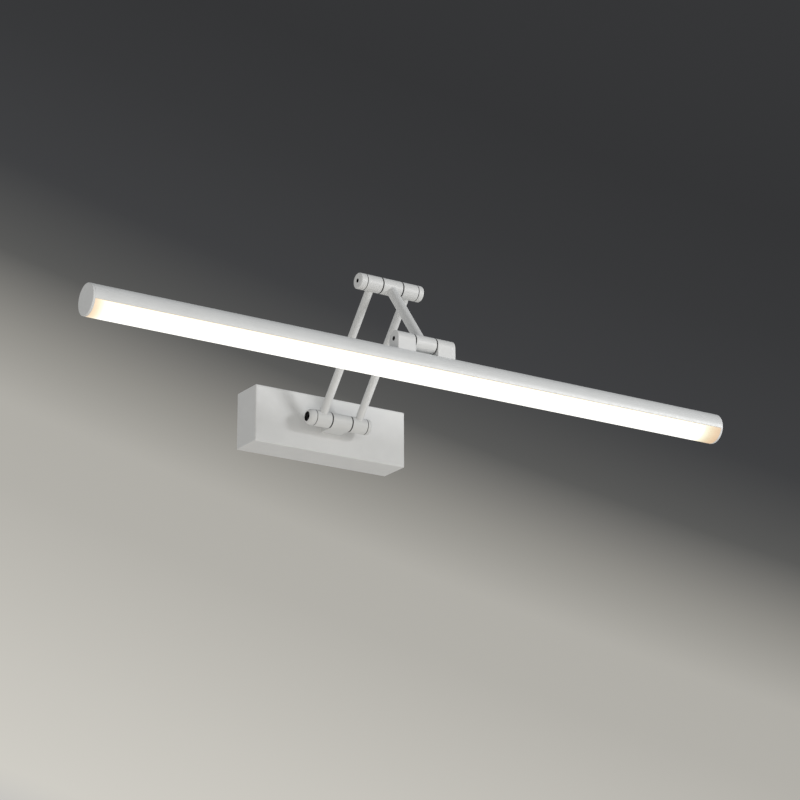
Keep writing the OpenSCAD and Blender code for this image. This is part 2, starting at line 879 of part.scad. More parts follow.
wall_bracket();
cable_grommet();
earth_stud();
terminal_block();
led_driver();
driver_screws();
mains_leads();
output_lead();
base_housing();
housing_screws();
base_pivot_block();
block_screws();
base_left_knuckle();
base_right_knuckle();
left_rod();
right_rod();
elbow_left_knuckle();
elbow_right_knuckle();
base_left_cap();
base_right_cap();
elbow_left_cap();
elbow_right_cap();
base_bolt();
base_nut();
elbow_bolt();
elbow_nut();
base_washers();
elbow_washers();
rod_lead();
elbow_centre_knuckle();
upper_arm_tube();
head_centre_knuckle();
upper_lead();
left_ear();
right_ear();
ear_screws();
head_pin();
head_washers();
tube_profile();
led_board();
leds();
diffuser();
left_end_cap();
right_end_cap();
head_lead();
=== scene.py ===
"""Looks of a wall-mounted picture light: a slim lamp tube on a folding arm.

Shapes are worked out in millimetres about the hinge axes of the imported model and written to
the meshes in metres. X runs along the lamp tube, +Y points into the wall and +Z is up.
"""

import json
import logging
import math
from dataclasses import dataclass, field
from enum import Enum
from typing import Callable

import bmesh
import bpy
import numpy as np
from mathutils import Matrix, Vector
from mathutils.geometry import tessellate_polygon


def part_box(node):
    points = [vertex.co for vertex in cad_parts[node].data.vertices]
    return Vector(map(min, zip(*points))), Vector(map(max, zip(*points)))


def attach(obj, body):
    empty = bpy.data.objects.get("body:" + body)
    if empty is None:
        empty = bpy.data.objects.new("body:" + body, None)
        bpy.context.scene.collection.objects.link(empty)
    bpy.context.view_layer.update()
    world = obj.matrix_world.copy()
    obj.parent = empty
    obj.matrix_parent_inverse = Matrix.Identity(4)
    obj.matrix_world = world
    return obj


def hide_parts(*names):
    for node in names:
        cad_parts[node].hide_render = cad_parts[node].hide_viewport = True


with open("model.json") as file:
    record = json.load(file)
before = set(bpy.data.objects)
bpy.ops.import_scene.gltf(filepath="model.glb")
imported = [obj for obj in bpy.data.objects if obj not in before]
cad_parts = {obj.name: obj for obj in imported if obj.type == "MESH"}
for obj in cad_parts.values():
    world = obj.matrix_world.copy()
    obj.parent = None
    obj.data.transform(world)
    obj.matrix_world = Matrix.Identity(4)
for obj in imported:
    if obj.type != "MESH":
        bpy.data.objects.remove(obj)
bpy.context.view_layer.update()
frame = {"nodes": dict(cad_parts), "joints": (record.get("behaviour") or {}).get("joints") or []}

MM = 0.001
FULL_TURN = 2 * math.pi
QUARTER = math.pi / 2
MERGE = 2e-4 * MM
SLIVER = 1e-5 * MM
Pair = tuple[float, float]
Triple = tuple[float, float, float]
Colour = Triple
Stop = tuple[float, Colour]
Foot = Callable[[np.ndarray], np.ndarray]
Socket = bpy.types.NodeSocket
log = logging.getLogger("picture_light")


class Body(Enum):
    """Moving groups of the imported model."""

    BASE = "base"
    LOWER = "lower_arm"
    UPPER = "upper_arm"
    HEAD = "head"


class Slot(Enum):
    """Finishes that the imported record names."""

    WHITE_STEEL = "white_steel"
    WHITE_ALUMINIUM = "white_aluminium"
    BRIGHT_STEEL = "bright_steel"
    BLACK_STEEL = "black_steel"
    BLACK_NYLON = "black_nylon"
    BLACK_RUBBER = "black_rubber"
    WHITE_PLASTIC = "white_plastic"
    CIRCUIT_BOARD = "circuit_board"
    LED_PHOSPHOR = "led_phosphor"
    OPAL = "opal_diffuser"


# ---------------------------------------------------------------- outlines and surfaces


def hinge(name: str) -> np.ndarray:
    """Gives the place of a joint's axis in the middle plane.

    Args:
        name: The joint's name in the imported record.

    Returns:
        Its x, y and z in millimetres.
    """
    joint = next(j for j in frame["joints"] if j["name"] == name)
    return np.array(joint["pos_m"], float) / MM


def tube_half() -> float:
    """Gives half of the lamp tube's length over its end caps, in millimetres."""
    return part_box("right_end_cap")[1][0] / MM


def rounded(corners: np.ndarray, radius: float | list[float], steps: int = 4) -> np.ndarray:
    """Swaps each corner of a closed outline for a circular arc.

    With unit vectors a and b from a corner to its neighbours and half of the angle between
    them h, the arc's centre lies at corner + (a + b) / |a + b| * r / sin h, it touches the
    sides at r / tan h from the corner, and its points turn evenly between the two touches.

    Args:
        corners: An (n, 2) array of corners in order.
        radius: The arc's radius, one for all corners or one for each.
        steps: Straight steps in each arc.

    Returns:
        An (m, 2) array of the rounded outline.
    """
    r = np.broadcast_to(np.asarray(radius, float), (len(corners),))[:, None]
    a = np.roll(corners, 1, 0) - corners
    b = np.roll(corners, -1, 0) - corners
    a = a / np.linalg.norm(a, axis=1, keepdims=True)
    b = b / np.linalg.norm(b, axis=1, keepdims=True)
    half = np.arccos(np.clip((a * b).sum(1, keepdims=True), -1, 1)) / 2
    middle = (a + b) / np.linalg.norm(a + b, axis=1, keepdims=True)
    centre = corners + middle * r / np.sin(half)
    start = corners + a * r / np.tan(half) - centre
    end = corners + b * r / np.tan(half) - centre
    turn = (math.pi - 2 * half)[:, None, :]
    share = np.linspace(0, 1, steps + 1)[None, :, None]
    swing = np.sin((1 - share) * turn) * start[:, None] + np.sin(share * turn) * end[:, None]
    return (centre[:, None] + swing / np.sin(turn)).reshape(-1, 2)


def arc(radius: float, start: float, end: float, steps: int) -> np.ndarray:
    """Gives points radius * (cos t, sin t) for t from start to end.

    Args:
        radius: The arc's radius about the origin.
        start: First angle in radians.
        end: Last angle in radians.
        steps: Straight steps along the arc.

    Returns:
        A (steps + 1, 2) array.
    """
    t = np.linspace(start, end, steps + 1)
    return radius * np.stack([np.cos(t), np.sin(t)], -1)


def circle(radius: float, sides: int) -> np.ndarray:
    """Gives points evenly round a circle about the origin, without the closing one."""
    return arc(radius, 0, FULL_TURN, sides)[:-1]


def ellipse_edge(face: float, radius: float, depth: float, width: float, steps: int) -> np.ndarray:
    """Gives the outer edge of a cap as (x, radius) points, an elliptical quarter turn.

    Point t from 0 to a quarter turn is (face - depth + depth sin t, radius - width + width cos t).

    Args:
        face: Place of the flat face along the axis.
        radius: Outer radius of the cap.
        depth: Length of the edge along the axis.
        width: Width of the edge across the face.
        steps: Straight steps along the edge.

    Returns:
        A (steps + 1, 2) array.
    """
    t = np.linspace(0, QUARTER, steps + 1)
    return np.stack([face - depth + depth * np.sin(t), radius - width + width * np.cos(t)], -1)


def turned(profile: np.ndarray, angles: np.ndarray) -> np.ndarray:
    """Turns (x, radius) points about the X axis: (x, r cos a, r sin a) for every angle a.

    Args:
        profile: An (m, 2) array of x and radius.
        angles: An (n,) array of angles.

    Returns:
        An (m, n, 3) grid.
    """
    x = np.repeat(profile[:, :1], len(angles), 1)
    r = profile[:, 1:]
    return np.stack([x, r * np.cos(angles), r * np.sin(angles)], -1)


def ring_angles(count: int) -> np.ndarray:
    """Gives evenly spaced angles once round, without the closing one."""
    return np.linspace(0, FULL_TURN, count, endpoint=False)


def closed(outline: np.ndarray) -> np.ndarray:
    """Repeats the first point of an outline at its end."""
    return np.vstack([outline, outline[:1]])


def at_x(x: float, outline: np.ndarray) -> np.ndarray:
    """Stands a (y, z) outline in the plane at x."""
    return np.column_stack([np.full(len(outline), x), outline])


class Surface:
    """Patches worked out as whole arrays, in millimetres, that close into one skin."""

    def __init__(self) -> None:
        """Starts with no patches."""
        self.points: list[np.ndarray] = []
        self.faces: list[list[int]] = []
        self.count = 0

    def take(self, points: np.ndarray, faces: list[list[int]]) -> None:
        """Adds a patch.

        Args:
            points: Its points, in an array of any shape that ends in x, y and z.
            faces: Its faces, which index the points from nought.
        """
        self.faces += [[i + self.count for i in f] for f in faces]
        self.points.append(points.reshape(-1, 3))
        self.count += len(self.points[-1])

    def grid(self, points: np.ndarray, wrap: bool = False) -> "Surface":
        """Adds a patch of quads.

        Args:
            points: An (m, n, 3) array of rows of points.
            wrap: Whether the last column joins the first.

        Returns:
            This surface.
        """
        rows, columns = points.shape[:2]
        index = np.arange(rows * columns).reshape(rows, columns)
        if wrap:
            index = np.hstack([index, index[:, :1]])
        quads = np.stack([index[:-1, :-1], index[1:, :-1], index[1:, 1:], index[:-1, 1:]], -1)
        self.take(points, quads.reshape(-1, 4).tolist())
        return self

    def flat(self, outer: np.ndarray, *holes: np.ndarray) -> "Surface":
        """Adds a flat face, cut into triangles where it has holes.

        Args:
            outer: An (n, 3) array, the face's outline.
            holes: The outlines of its holes.

        Returns:
            This surface.
        """
        loops = [outer, *holes]
        faces = [list(range(len(outer)))]
        if holes:
            triangles = tessellate_polygon([[Vector(p) for p in loop] for loop in loops])
            faces = [list(t) for t in triangles]
        self.take(np.vstack(loops), faces)
        return self

    def moved(self, shift: np.ndarray, since: int = 0) -> "Surface":
        """Moves the patches added since a number of them by a vector."""
        self.points[since:] = [p + shift for p in self.points[since:]]
        return self

    def mesh(self, name: str, crease: float = 32) -> bpy.types.Object:
        """Makes the skin an object: shared points merged, faces turned outwards, smooth shaded.

        Args:
            name: The piece's name.
            crease: Edges that turn by more than this, in degrees, stay sharp.

        Returns:
            The object, at the origin, with its place in its mesh.
        """
        data = bpy.data.meshes.new(name)
        data.from_pydata(np.vstack(self.points) * MM, [], self.faces)
        work = bmesh.new()
        work.from_mesh(data)
        bmesh.ops.remove_doubles(work, verts=work.verts, dist=MERGE)
        bmesh.ops.dissolve_degenerate(work, edges=work.edges, dist=SLIVER)
        bmesh.ops.recalc_face_normals(work, faces=work.faces)
        work.to_mesh(data)
        work.free()
        data.shade_smooth()
        data.set_sharp_from_angle(angle=math.radians(crease))
        piece = bpy.data.objects.new(name, data)
        bpy.context.scene.collection.objects.link(piece)
        weighted = piece.modifiers.new("face_weighted_normals", "WEIGHTED_NORMAL")
        weighted.keep_sharp = True
        return piece


# ---------------------------------------------------------------- finishes


def shade(colour: Colour, factor: float) -> Colour:
    """Gives a colour times a factor, held below one."""
    return tuple(min(1.0, c * factor) for c in colour)


class Nodes:
    """A node tree, filled node by node and joined by socket."""

    def __init__(self, tree: bpy.types.NodeTree) -> None:
        """Starts with an empty tree."""
        self.tree = tree
        self.tree.nodes.clear()

    def add(self, kind: str) -> bpy.types.Node:
        """Adds a shader node of a kind."""
        return self.tree.nodes.new("ShaderNode" + kind)

    def join(self, source: Socket, target: Socket) -> None:
        """Links one socket to another."""
        self.tree.links.new(source, target)

    def ramp(self, source: Socket, stops: list[Stop]) -> Socket:
        """Colours a value.

        Args:
            source: The value's socket.
            stops: Pairs of a place from 0 to 1 and a colour.

        Returns:
            The socket of the colour.
        """
        node = self.add("ValToRGB")
        elements = node.color_ramp.elements
        while len(elements) < len(stops):
            elements.new(0.5)
        for element, (place, colour) in zip(elements, stops):
            element.position = place
            element.color = (*colour, 1)
        self.join(source, node.inputs["Fac"])
        return node.outputs["Color"]

    def spread(self, source: Socket, old: Pair, new: Pair) -> Socket:
        """Maps a value from one span to another.

        Args:
            source: The value's socket.
            old: The span that it comes from.
            new: The span that it goes to, and never leaves.

        Returns:
            The socket of the result.
        """
        node = self.add("MapRange")
        for name, value in zip(("From Min", "From Max", "To Min", "To Max"), (*old, *new)):
            node.inputs[name].default_value = value
        self.join(source, node.inputs["Value"])
        return node.outputs["Result"]


class Graph(Nodes):
    """A material's nodes, with the span that most of a noise's values lie in."""

    most: Pair = (0.3, 0.7)

    def __init__(self, name: str) -> None:
        """Starts a material with a shader, its output and the object's coordinates.

        Args:
            name: The material's name.
        """
        self.material = bpy.data.materials.new(name)
        self.material.use_nodes = True
        super().__init__(self.material.node_tree)
        self.shader = self.add("BsdfPrincipled")
        self.join(self.shader.outputs["BSDF"], self.add("OutputMaterial").inputs["Surface"])
        self.place = self.add("TexCoord").outputs["Object"]

    def set(self, **values: float | tuple) -> None:
        """Sets shader inputs that are the same all over, named with underscores for spaces."""
        for name, value in values.items():
            self.shader.inputs[name.replace("_", " ")].default_value = value

    def noise(self, size: float, detail: float = 2, stretch: Triple = (1, 1, 1)) -> Socket:
        """Adds cloudy noise in object space.

        Args:
            size: Width of a blotch in millimetres.
            detail: Octaves of finer noise.
            stretch: Frequency along X, Y and Z, against the blotch's own.

        Returns:
            The socket of its value.
        """
        mapping = self.add("Mapping")
        mapping.inputs["Scale"].default_value = stretch
        self.join(self.place, mapping.inputs["Vector"])
        node = self.add("TexNoise")
        node.inputs["Scale"].default_value = 1 / (size * MM)
        node.inputs["Detail"].default_value = detail
        self.join(mapping.outputs["Vector"], node.inputs["Vector"])
        return node.outputs["Fac"]

    def cells(self, size: float) -> Socket:
        """Adds rounded cells.

        Args:
            size: Width of a cell in millimetres.

        Returns:
            The socket of the distance from a cell's centre.
        """
        node = self.add("TexVoronoi")
        node.feature = "SMOOTH_F1"
        node.inputs["Scale"].default_value = 1 / (size * MM)
        self.join(self.place, node.inputs["Vector"])
        return node.outputs["Distance"]

    def least(self, one: Socket, other: Socket) -> Socket:
        """Compares two values.

        Args:
            one: The first value's socket.
            other: The second value's socket.

        Returns:
            The socket of the smaller one.
        """
        node = self.add("Math")
        node.operation = "MINIMUM"
        self.join(one, node.inputs[0])
        self.join(other, node.inputs[1])
        return node.outputs["Value"]

    def darker(self, one: Socket, other: Socket) -> Socket:
        """Compares two colours channel by channel.

        Args:
            one: The first colour's socket.
            other: The second colour's socket.

        Returns:
            The socket of the darker one.
        """
        node = self.add("MixRGB")
        node.blend_type = "DARKEN"
        node.inputs["Fac"].default_value = 1
        self.join(one, node.inputs["Color1"])
        self.join(other, node.inputs["Color2"])
        return node.outputs["Color"]

    def mottle(self, source: Socket, colour: Colour, shades: Pair, span: Pair = most) -> None:
        """Gives the base colour blotches between two shades of one colour.

        Args:
            source: The socket of the blotches.
            colour: The colour.
            shades: Its factors in the darkest and the lightest blotch.
            span: The values of the source that stand for those two.
        """
        stops = [(place, shade(colour, factor)) for place, factor in zip(span, shades)]
        self.join(self.ramp(source, stops), self.shader.inputs["Base Color"])

    def gloss(self, source: Socket, roughness: float, swing: Pair) -> None:
        """Makes the roughness uneven.

        Args:
            source: The socket of its blotches.
            roughness: Its middle value.
            swing: How far it falls and how far it rises.
        """
        span = (roughness - swing[0], roughness + swing[1])
        self.join(self.spread(source, self.most, span), self.shader.inputs["Roughness"])

    def bump(self, source: Socket, height: float, strength: float) -> None:
        """Raises the surface by a value.

        Args:
            source: The value's socket.
            height: Height of a full step in millimetres.
            strength: Share of the bump that shows.
        """
        node = self.add("Bump")
        node.inputs["Distance"].default_value = height * MM
        node.inputs["Strength"].default_value = strength
        self.join(source, node.inputs["Height"])
        last = self.shader.inputs["Normal"]
        if last.is_linked:
            self.join(last.links[0].from_socket, node.inputs["Normal"])
        self.join(node.outputs["Normal"], last)


@dataclass(frozen=True)
class PowderCoat:
    """Baked powder paint: a soft satin gloss over a fine orange peel."""

    name: str = "white_powder_coat"
    slot: Slot = Slot.WHITE_STEEL
    colour: Colour = (0.775, 0.785, 0.785)
    roughness: float = 0.42
    peel_size: float = 0.9
    peel_height: float = 0.02
    peel_share: float = 0.6
    cloud_size: float = 18
    shades: Pair = (0.975, 1.015)
    gloss_size: float = 2.5
    swing: Pair = (0.04, 0.05)
    grain_size: float = 0.45
    grain_height: float = 0.02
    grain_share: float = 0.7

    def material(self) -> bpy.types.Material:
        """Builds the nodes: faint cloudiness, uneven gloss, and peel with a finer grain on it.

        Returns:
            The material.
        """
        g = Graph(self.name)
        g.mottle(g.noise(self.cloud_size, detail=3), self.colour, self.shades)
        g.gloss(g.noise(self.gloss_size, detail=4), self.roughness, self.swing)
        g.set(IOR=1.5, Specular_IOR_Level=0.5)
        g.bump(g.cells(self.peel_size), self.peel_height, self.peel_share)
        g.bump(g.noise(self.grain_size, detail=3), self.grain_height, self.grain_share)
        return g.material


@dataclass(frozen=True)
class Metal:
    """Bare or blackened metal with drawn streaks along one direction."""

    name: str
    slot: Slot
    colour: Colour
    roughness: float
    metallic: float = 1.0
    streak: Triple = (1, 1, 1)
    streak_width: float = 0.4
    streak_span: Pair = (0.25, 0.75)
    streak_height: float = 0.008
    streak_share: float = 0.5
    shades: Pair = (0.88, 1.08)
    patch_size: float = 6
    swing: Pair = (0.06, 0.08)

    def material(self) -> bpy.types.Material:
        """Builds the nodes: streaks in colour, gloss and height, with larger dull patches.

        Returns:
            The material.
        """
        g = Graph(self.name)
        streaks = g.noise(self.streak_width, detail=4, stretch=self.streak)
        g.mottle(streaks, self.colour, self.shades, self.streak_span)
        g.gloss(g.noise(self.patch_size, detail=3), self.roughness, self.swing)
        g.set(Metallic=self.metallic)
        g.bump(streaks, self.streak_height, self.streak_share)
        return g.material


@dataclass(frozen=True)
class Moulded:
    """Moulded plastic or rubber with a spark-eroded texture."""

    name: str
    slot: Slot
    colour: Colour
    roughness: float
    texture_size: float = 0.35
    texture_height: float = 0.02
    texture_share: float = 0.6
    blotch_size: float = 9
    shades: Pair = (0.93, 1.04)
    gloss_size: float = 1.5
    swing: Pair = (0.05, 0.06)

    def material(self) -> bpy.types.Material:
        """Builds the nodes: slight mottling, uneven gloss and a fine moulded texture.

        Returns:
            The material.
        """
        g = Graph(self.name)
        g.mottle(g.noise(self.blotch_size, detail=3), self.colour, self.shades)
        g.gloss(g.noise(self.gloss_size, detail=3), self.roughness, self.swing)
        g.bump(g.noise(self.texture_size, detail=3), self.texture_height, self.texture_share)
        return g.material


@dataclass(frozen=True)
class Phosphor:
    """Yellow LED phosphor that gives a warm light."""

    name: str = "led_phosphor"
    slot: Slot = Slot.LED_PHOSPHOR
    colour: Colour = (0.95, 0.78, 0.3)
    glow: Colour = (1, 0.93, 0.8)
    strength: float = 3.0
    roughness: float = 0.35
    gel_size: float = 0.4
    shades: Pair = (0.9, 1.0)
    grain_size: float = 0.3
    grain_height: float = 0.01
    grain_share: float = 0.5

    def material(self) -> bpy.types.Material:
        """Builds the nodes: grainy yellow gel over a warm glow.

        Returns:
            The material.
        """
        g = Graph(self.name)
        g.mottle(g.noise(self.gel_size, detail=3), self.colour, self.shades)
        g.set(Roughness=self.roughness, Emission_Color=(*self.glow, 1), Emission_Strength=self.strength)
        g.bump(g.noise(self.grain_size, detail=2), self.grain_height, self.grain_share)
        return g.material


@dataclass(frozen=True)
class Opal:
    """Lit opal diffuser: even white light that falls off warm over each unlit end."""

    end: float
    split_z: float
    name: str = "opal_diffuser"
    slot: Slot = Slot.OPAL
    left_fade: float = 13
    right_fade: float = 23
    seam_fade: float = 1
    lit: Colour = (1, 0.99, 0.93)
    left_dusk: tuple[Stop, ...] = (
        (0.0, (0.62, 0.45, 0.28)),
        (0.35, (0.72, 0.60, 0.40)),
        (0.65, (0.84, 0.79, 0.62)),
    )
    right_dusk: tuple[Stop, ...] = (
        (0.0, (0.48, 0.30, 0.15)),
        (0.25, (0.53, 0.36, 0.19)),
        (0.5, (0.57, 0.46, 0.28)),
        (0.78, (0.76, 0.70, 0.52)),
    )
    strength: float = 1.12
    body: tuple[Colour, Colour] = ((0.30, 0.295, 0.28), (0.33, 0.325, 0.31))
    cloud_size: float = 12
    roughness: float = 0.38
    grain_size: float = 0.5
    grain_height: float = 0.004
    grain_share: float = 0.4

    def material(self) -> bpy.types.Material:
        """Builds the nodes: emission coloured by the distance from the ends and the seam.

        Returns:
            The material.
        """
        g = Graph(self.name)
        axes = g.add("SeparateXYZ")
        g.join(g.place, axes.inputs["Vector"])

        def rise(axis: str, start: float, length: float) -> Socket:
            """Gives a value that rises from 0 at start to 1 a length further along an axis."""
            return g.spread(axes.outputs[axis], (start * MM, (start + length) * MM), (0, 1))

        left = rise("X", -self.end, self.left_fade)
        right = rise("X", self.end, -self.right_fade)
        seam = rise("Z", self.split_z, -self.seam_fade)
        left_glow = g.ramp(g.least(left, seam), [*self.left_dusk, (1.0, self.lit)])
        right_glow = g.ramp(right, [*self.right_dusk, (1.0, self.lit)])
        g.join(g.darker(left_glow, right_glow), g.shader.inputs["Emission Color"])
        clouds = g.ramp(g.noise(self.cloud_size, detail=2), list(zip(g.most, self.body)))
        g.join(clouds, g.shader.inputs["Base Color"])
        g.set(Roughness=self.roughness, Emission_Strength=self.strength)
        g.bump(g.noise(self.grain_size, detail=2), self.grain_height, self.grain_share)
        return g.material


# ---------------------------------------------------------------- the assemblies


@dataclass
class Assembly:
    """A group of pieces that share their sizes; each piece rides on a body of the frame."""

    finishes: dict[Slot, bpy.types.Material]
    count: int = field(default=0, init=False)

    def place(self, piece: bpy.types.Object, body: Body, slot: Slot, *nodes: str) -> bpy.types.Object:
        """Dresses a new piece, rides it on its body and lets it stand for CAD nodes.

        Args:
            piece: The new piece.
            body: The body that it moves with.
            slot: Its finish.
            nodes: The CAD nodes that it stands for.

        Returns:
            The piece.
        """
        piece.data.materials.append(self.finishes[slot])
        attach(piece, body.value)
        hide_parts(*nodes)
        self.count += 1
        log.info("%s stands for %s on %s", piece.name, ", ".join(nodes), body.value)
        return piece

    def paint_black_shade(self, piece: bpy.types.Object, axis: np.ndarray, radius: float, depth: Pair) -> None:
        """Paints shade: gives the faces in and behind a hole, seam or gap along X the black finish, which
        stands for the shade that falls there.

        Args:
            piece: The piece with the hole.
            axis: A point on the hole's axis, in millimetres.
            radius: Faces whose centre lies nearer to the axis than this are inside.
            depth: Faces between these two places along X are inside.
        """
        count = len(piece.data.polygons)
        centres = np.empty(count * 3)
        piece.data.polygons.foreach_get("center", centres)
        offset = centres.reshape(-1, 3) / MM - axis
        reach = np.linalg.norm(offset[:, 1:], axis=1)
        # Painted shade: the faces picked here are the ones where shade falls in the hollow.
        inside = (reach < radius) & (offset[:, 0] > depth[0]) & (offset[:, 0] < depth[1])
        black = self.finishes[Slot.BLACK_NYLON]
        if black.name not in piece.data.materials:
            piece.data.materials.append(black)
        index = np.empty(count, np.int32)
        piece.data.polygons.foreach_get("material_index", index)
        piece.data.polygons.foreach_set("material_index", np.maximum(index, inside.astype(np.int32)))

    def dress(self, slot: Slot, *nodes: str) -> None:
        """Gives CAD nodes that stay in place a finish.

        Args:
            slot: The finish.
            nodes: The nodes' names.
        """
        for name in nodes:
            node = frame["nodes"][name]
            node.data.materials.clear()
            node.data.materials.append(self.finishes[slot])
            self.count += 1
            log.info("%s keeps its shape in %s", name, slot.value)


@dataclass(frozen=True)
class SocketScrew:
    """A screw or pin along +X with a hexagon socket in its face."""

    head_r: float
    head_h: float
    shank_r: float
    hexagon: float
    deep: float
    edge: float
    tip: float = 0.4
    lead_in: float = 0.25
    cone: float = 0.7
    sides: int = 72
    edge_steps: int = 5

    def surface(self, seat: float, end: float) -> Surface:
        """Builds the screw from its face to the end of its shank.

        The face runs from the rounded rim to a hexagon whose radius at angle t is
        h cos 30 / cos((t mod 60) - 30), sinks to its depth and closes in a shallow cone.

        Args:
            seat: Place of the face.
            end: Place of the shank's end.

        Returns:
            The closed skin about the X axis.
        """
        angles = ring_angles(self.sides)
        neck = seat + self.head_h
        rim = ellipse_edge(0, self.head_r, self.edge, self.edge, self.edge_steps) * [-1, 1] + [seat, 0]
        shank = [(neck, self.head_r), (neck, self.shank_r), (end - self.tip, self.shank_r)]
        shank += [(end, self.shank_r - self.tip), (end, 0)]
        skin = Surface().grid(turned(np.vstack([rim[::-1], shank]), angles), wrap=True)
        sector = np.mod(angles, math.pi / 3) - math.pi / 6
        hexagon = self.hexagon * math.cos(math.pi / 6) / np.cos(sector)
        rim_r = np.full(self.sides, self.head_r - self.edge)
        floor = seat + self.deep
        places = [seat, seat, seat + self.lead_in, floor, floor + self.cone]
        radii = np.stack([rim_r, hexagon + self.lead_in, hexagon, hexagon, 0 * hexagon])
        x = np.repeat(np.array(places, float)[:, None], self.sides, 1)
        return skin.grid(np.stack([x, radii * np.cos(angles), radii * np.sin(angles)], -1), wrap=True)


@dataclass
class Barrels(Assembly):
    """Shared sizes and shapes of the hinge barrels and of the rods that stand in them."""

    radius: float = 8
    edge: float = 0.5
    edge_steps: int = 4
    centre_half: float = 10.9
    head_half: float = 11.3
    gap: float = 1
    side_end: float = 28.9
    bolt_r: float = 2.5
    pin_r: float = 2.2
    turn_gap: float = 0.05
    fit_gap: float = 0.02
    socket_floor: float = 5.2
    socket_margin: float = 0.32
    counterbore_r: float = 6.2
    counterbore_depth: float = 2.5
    rod_r: float = 4
    rod_x: float = 20.4
    arm_r: float = 5
    tube_wall: float = 1.6
    washer_step: float = 0.3
    washer_slack: float = 0.05
    washer_edge: float = 0.15
    # Band of edge faces that gets painted shade in the narrow gaps, and its slack.
    rim: float = 0.15
    rim_slack: float = 0.005
    skin_slack: float = 0.2
    inner_slack: float = 0.02
    angles: int = 96
    socket_steps: int = 14
    back_steps: int = 73
    length_steps: int = 8
    sheet_steps: int = 6
    sheet_ease: float = 1.3
    rod_sides: int = 64
    arch_steps: int = 48
    foot_steps: int = 24

    @property
    def bolt_bore(self) -> float:
        """Radius of the bore for a bolt."""
        return self.bolt_r + self.turn_gap

    def edges(self, x0: float, x1: float) -> tuple[np.ndarray, np.ndarray]:
        """Gives the rounded outer edges of a barrel as (x, radius) points.

        Args:
            x0: Lower end along X.
            x1: Upper end along X.

        Returns:
            The edge at x0, ending on the barrel, and the edge at x1, starting on it.
        """
        low = ellipse_edge(-x0, self.radius, self.edge, self.edge, self.edge_steps)[::-1] * [-1, 1]
        high = ellipse_edge(x1, self.radius, self.edge, self.edge, self.edge_steps)
        return low, high

    def inside(self, x0: float, x1: float, bore: float, seat: int) -> np.ndarray:
        """Gives the inside of a barrel as (x, radius) points, from its upper end to its lower.

        Args:
            x0: Lower end along X.
            x1: Upper end along X.
            bore: Radius of the bore.
            seat: -1 or 1 for a counterbore at the lower or upper end, 0 for none.

        Returns:
            An (n, 2) array.
        """
        wide, deep = self.counterbore_r, self.counterbore_depth
        lower, upper = [(x0, bore)], [(x1, bore)]
        if seat < 0:
            lower = [(x0, wide), (x0 + deep, wide), (x0 + deep, bore)]
        if seat > 0:
            upper = [(x1, wide), (x1 - deep, wide), (x1 - deep, bore)]
        return np.array(upper + lower[::-1], float)

    def socketed_barrel(
        self, x0: float, x1: float, bore: float, rod: float, lean: np.ndarray, seat: int = 0
    ) -> Surface:
        """Builds a barrel along X with a bore and a blind socket for a rod.

        The rolled-out skin round the socket is a rectangle in x and arc length v with a hole
        at (rod cos t, R asin(rod sin t / R)), and its rows lead straight from the hole to
        the rectangle's edge. Rolled up, a point (u, v) lies at angle v / R from the rod.

        Args:
            x0: Lower end along X.
            x1: Upper end along X.
            bore: Radius of the bore.
            rod: Radius of the rod; the socket is wider by the fit's clearance.
            lean: Unit vector (y, z) along which the rod leaves the axis.
            seat: -1 or 1 for a counterbore at the lower or upper end, 0 for none.

        Returns:
            The closed skin about the hinge axis.
        """
        big, hole = self.radius, rod + self.fit_gap
        middle = (x0 + x1) / 2
        flank = np.stack([lean, [-lean[1], lean[0]]])

        def rolled(x: np.ndarray, r: np.ndarray, angle: np.ndarray) -> np.ndarray:
            """Puts (x, r, angle from the rod) in space."""
            across = (r * np.cos(angle))[..., None] * flank[0] + (r * np.sin(angle))[..., None] * flank[1]
            return np.concatenate([x[..., None], across], -1)

        reach = math.asin(hole / big) + self.socket_margin
        front = np.linspace(-reach, reach, self.socket_steps + 1)
        back = np.linspace(reach, FULL_TURN - reach, self.back_steps + 1)
        angles = np.concatenate([front, back[1:-1]])[None]
        low, high = self.edges(x0, x1)
        profile = np.vstack([high, self.inside(x0, x1, bore, seat), low])
        skin = Surface()
        skin.grid(rolled(*np.broadcast_arrays(profile[:, :1], profile[:, 1:], angles)), wrap=True)
        rows = np.linspace(low[-1, 0], high[0, 0], self.length_steps + 1)
        skin.grid(rolled(*np.broadcast_arrays(rows[:, None], np.array([[big]]), back[None])))
        u = rows - middle
        v = front * big
        loop = np.concatenate([
            np.column_stack([np.full(len(v) - 1, u[-1]), v[:-1]]),
            np.column_stack([u[:0:-1], np.full(len(u) - 1, v[-1])]),
            np.column_stack([np.full(len(v) - 1, u[0]), v[:0:-1]]),
            np.column_stack([u[:-1], np.full(len(u) - 1, v[0])]),
        ])
        t = np.arctan2(loop[:, 1], loop[:, 0])
        side = hole * np.sin(t)
        mouth = np.column_stack([hole * np.cos(t), big * np.arcsin(side / big)])
        share = np.linspace(0, 1, self.sheet_steps + 1)[:, None, None] ** self.sheet_ease
        sheet = mouth * (1 - share) + loop * share
        around = sheet[..., 1] / big
        skin.grid(rolled(middle + sheet[..., 0], np.full(around.shape, big), around), wrap=True)
        height = np.stack([np.sqrt(big**2 - side**2), np.full(len(t), self.socket_floor)])
        across = height[..., None] * flank[0] + side[None, :, None] * flank[1]
        x = np.broadcast_to(middle + hole * np.cos(t), height.shape)[..., None]
        wall = np.concatenate([x, across], -1)
        return skin.grid(wall, wrap=True).flat(wall[-1])

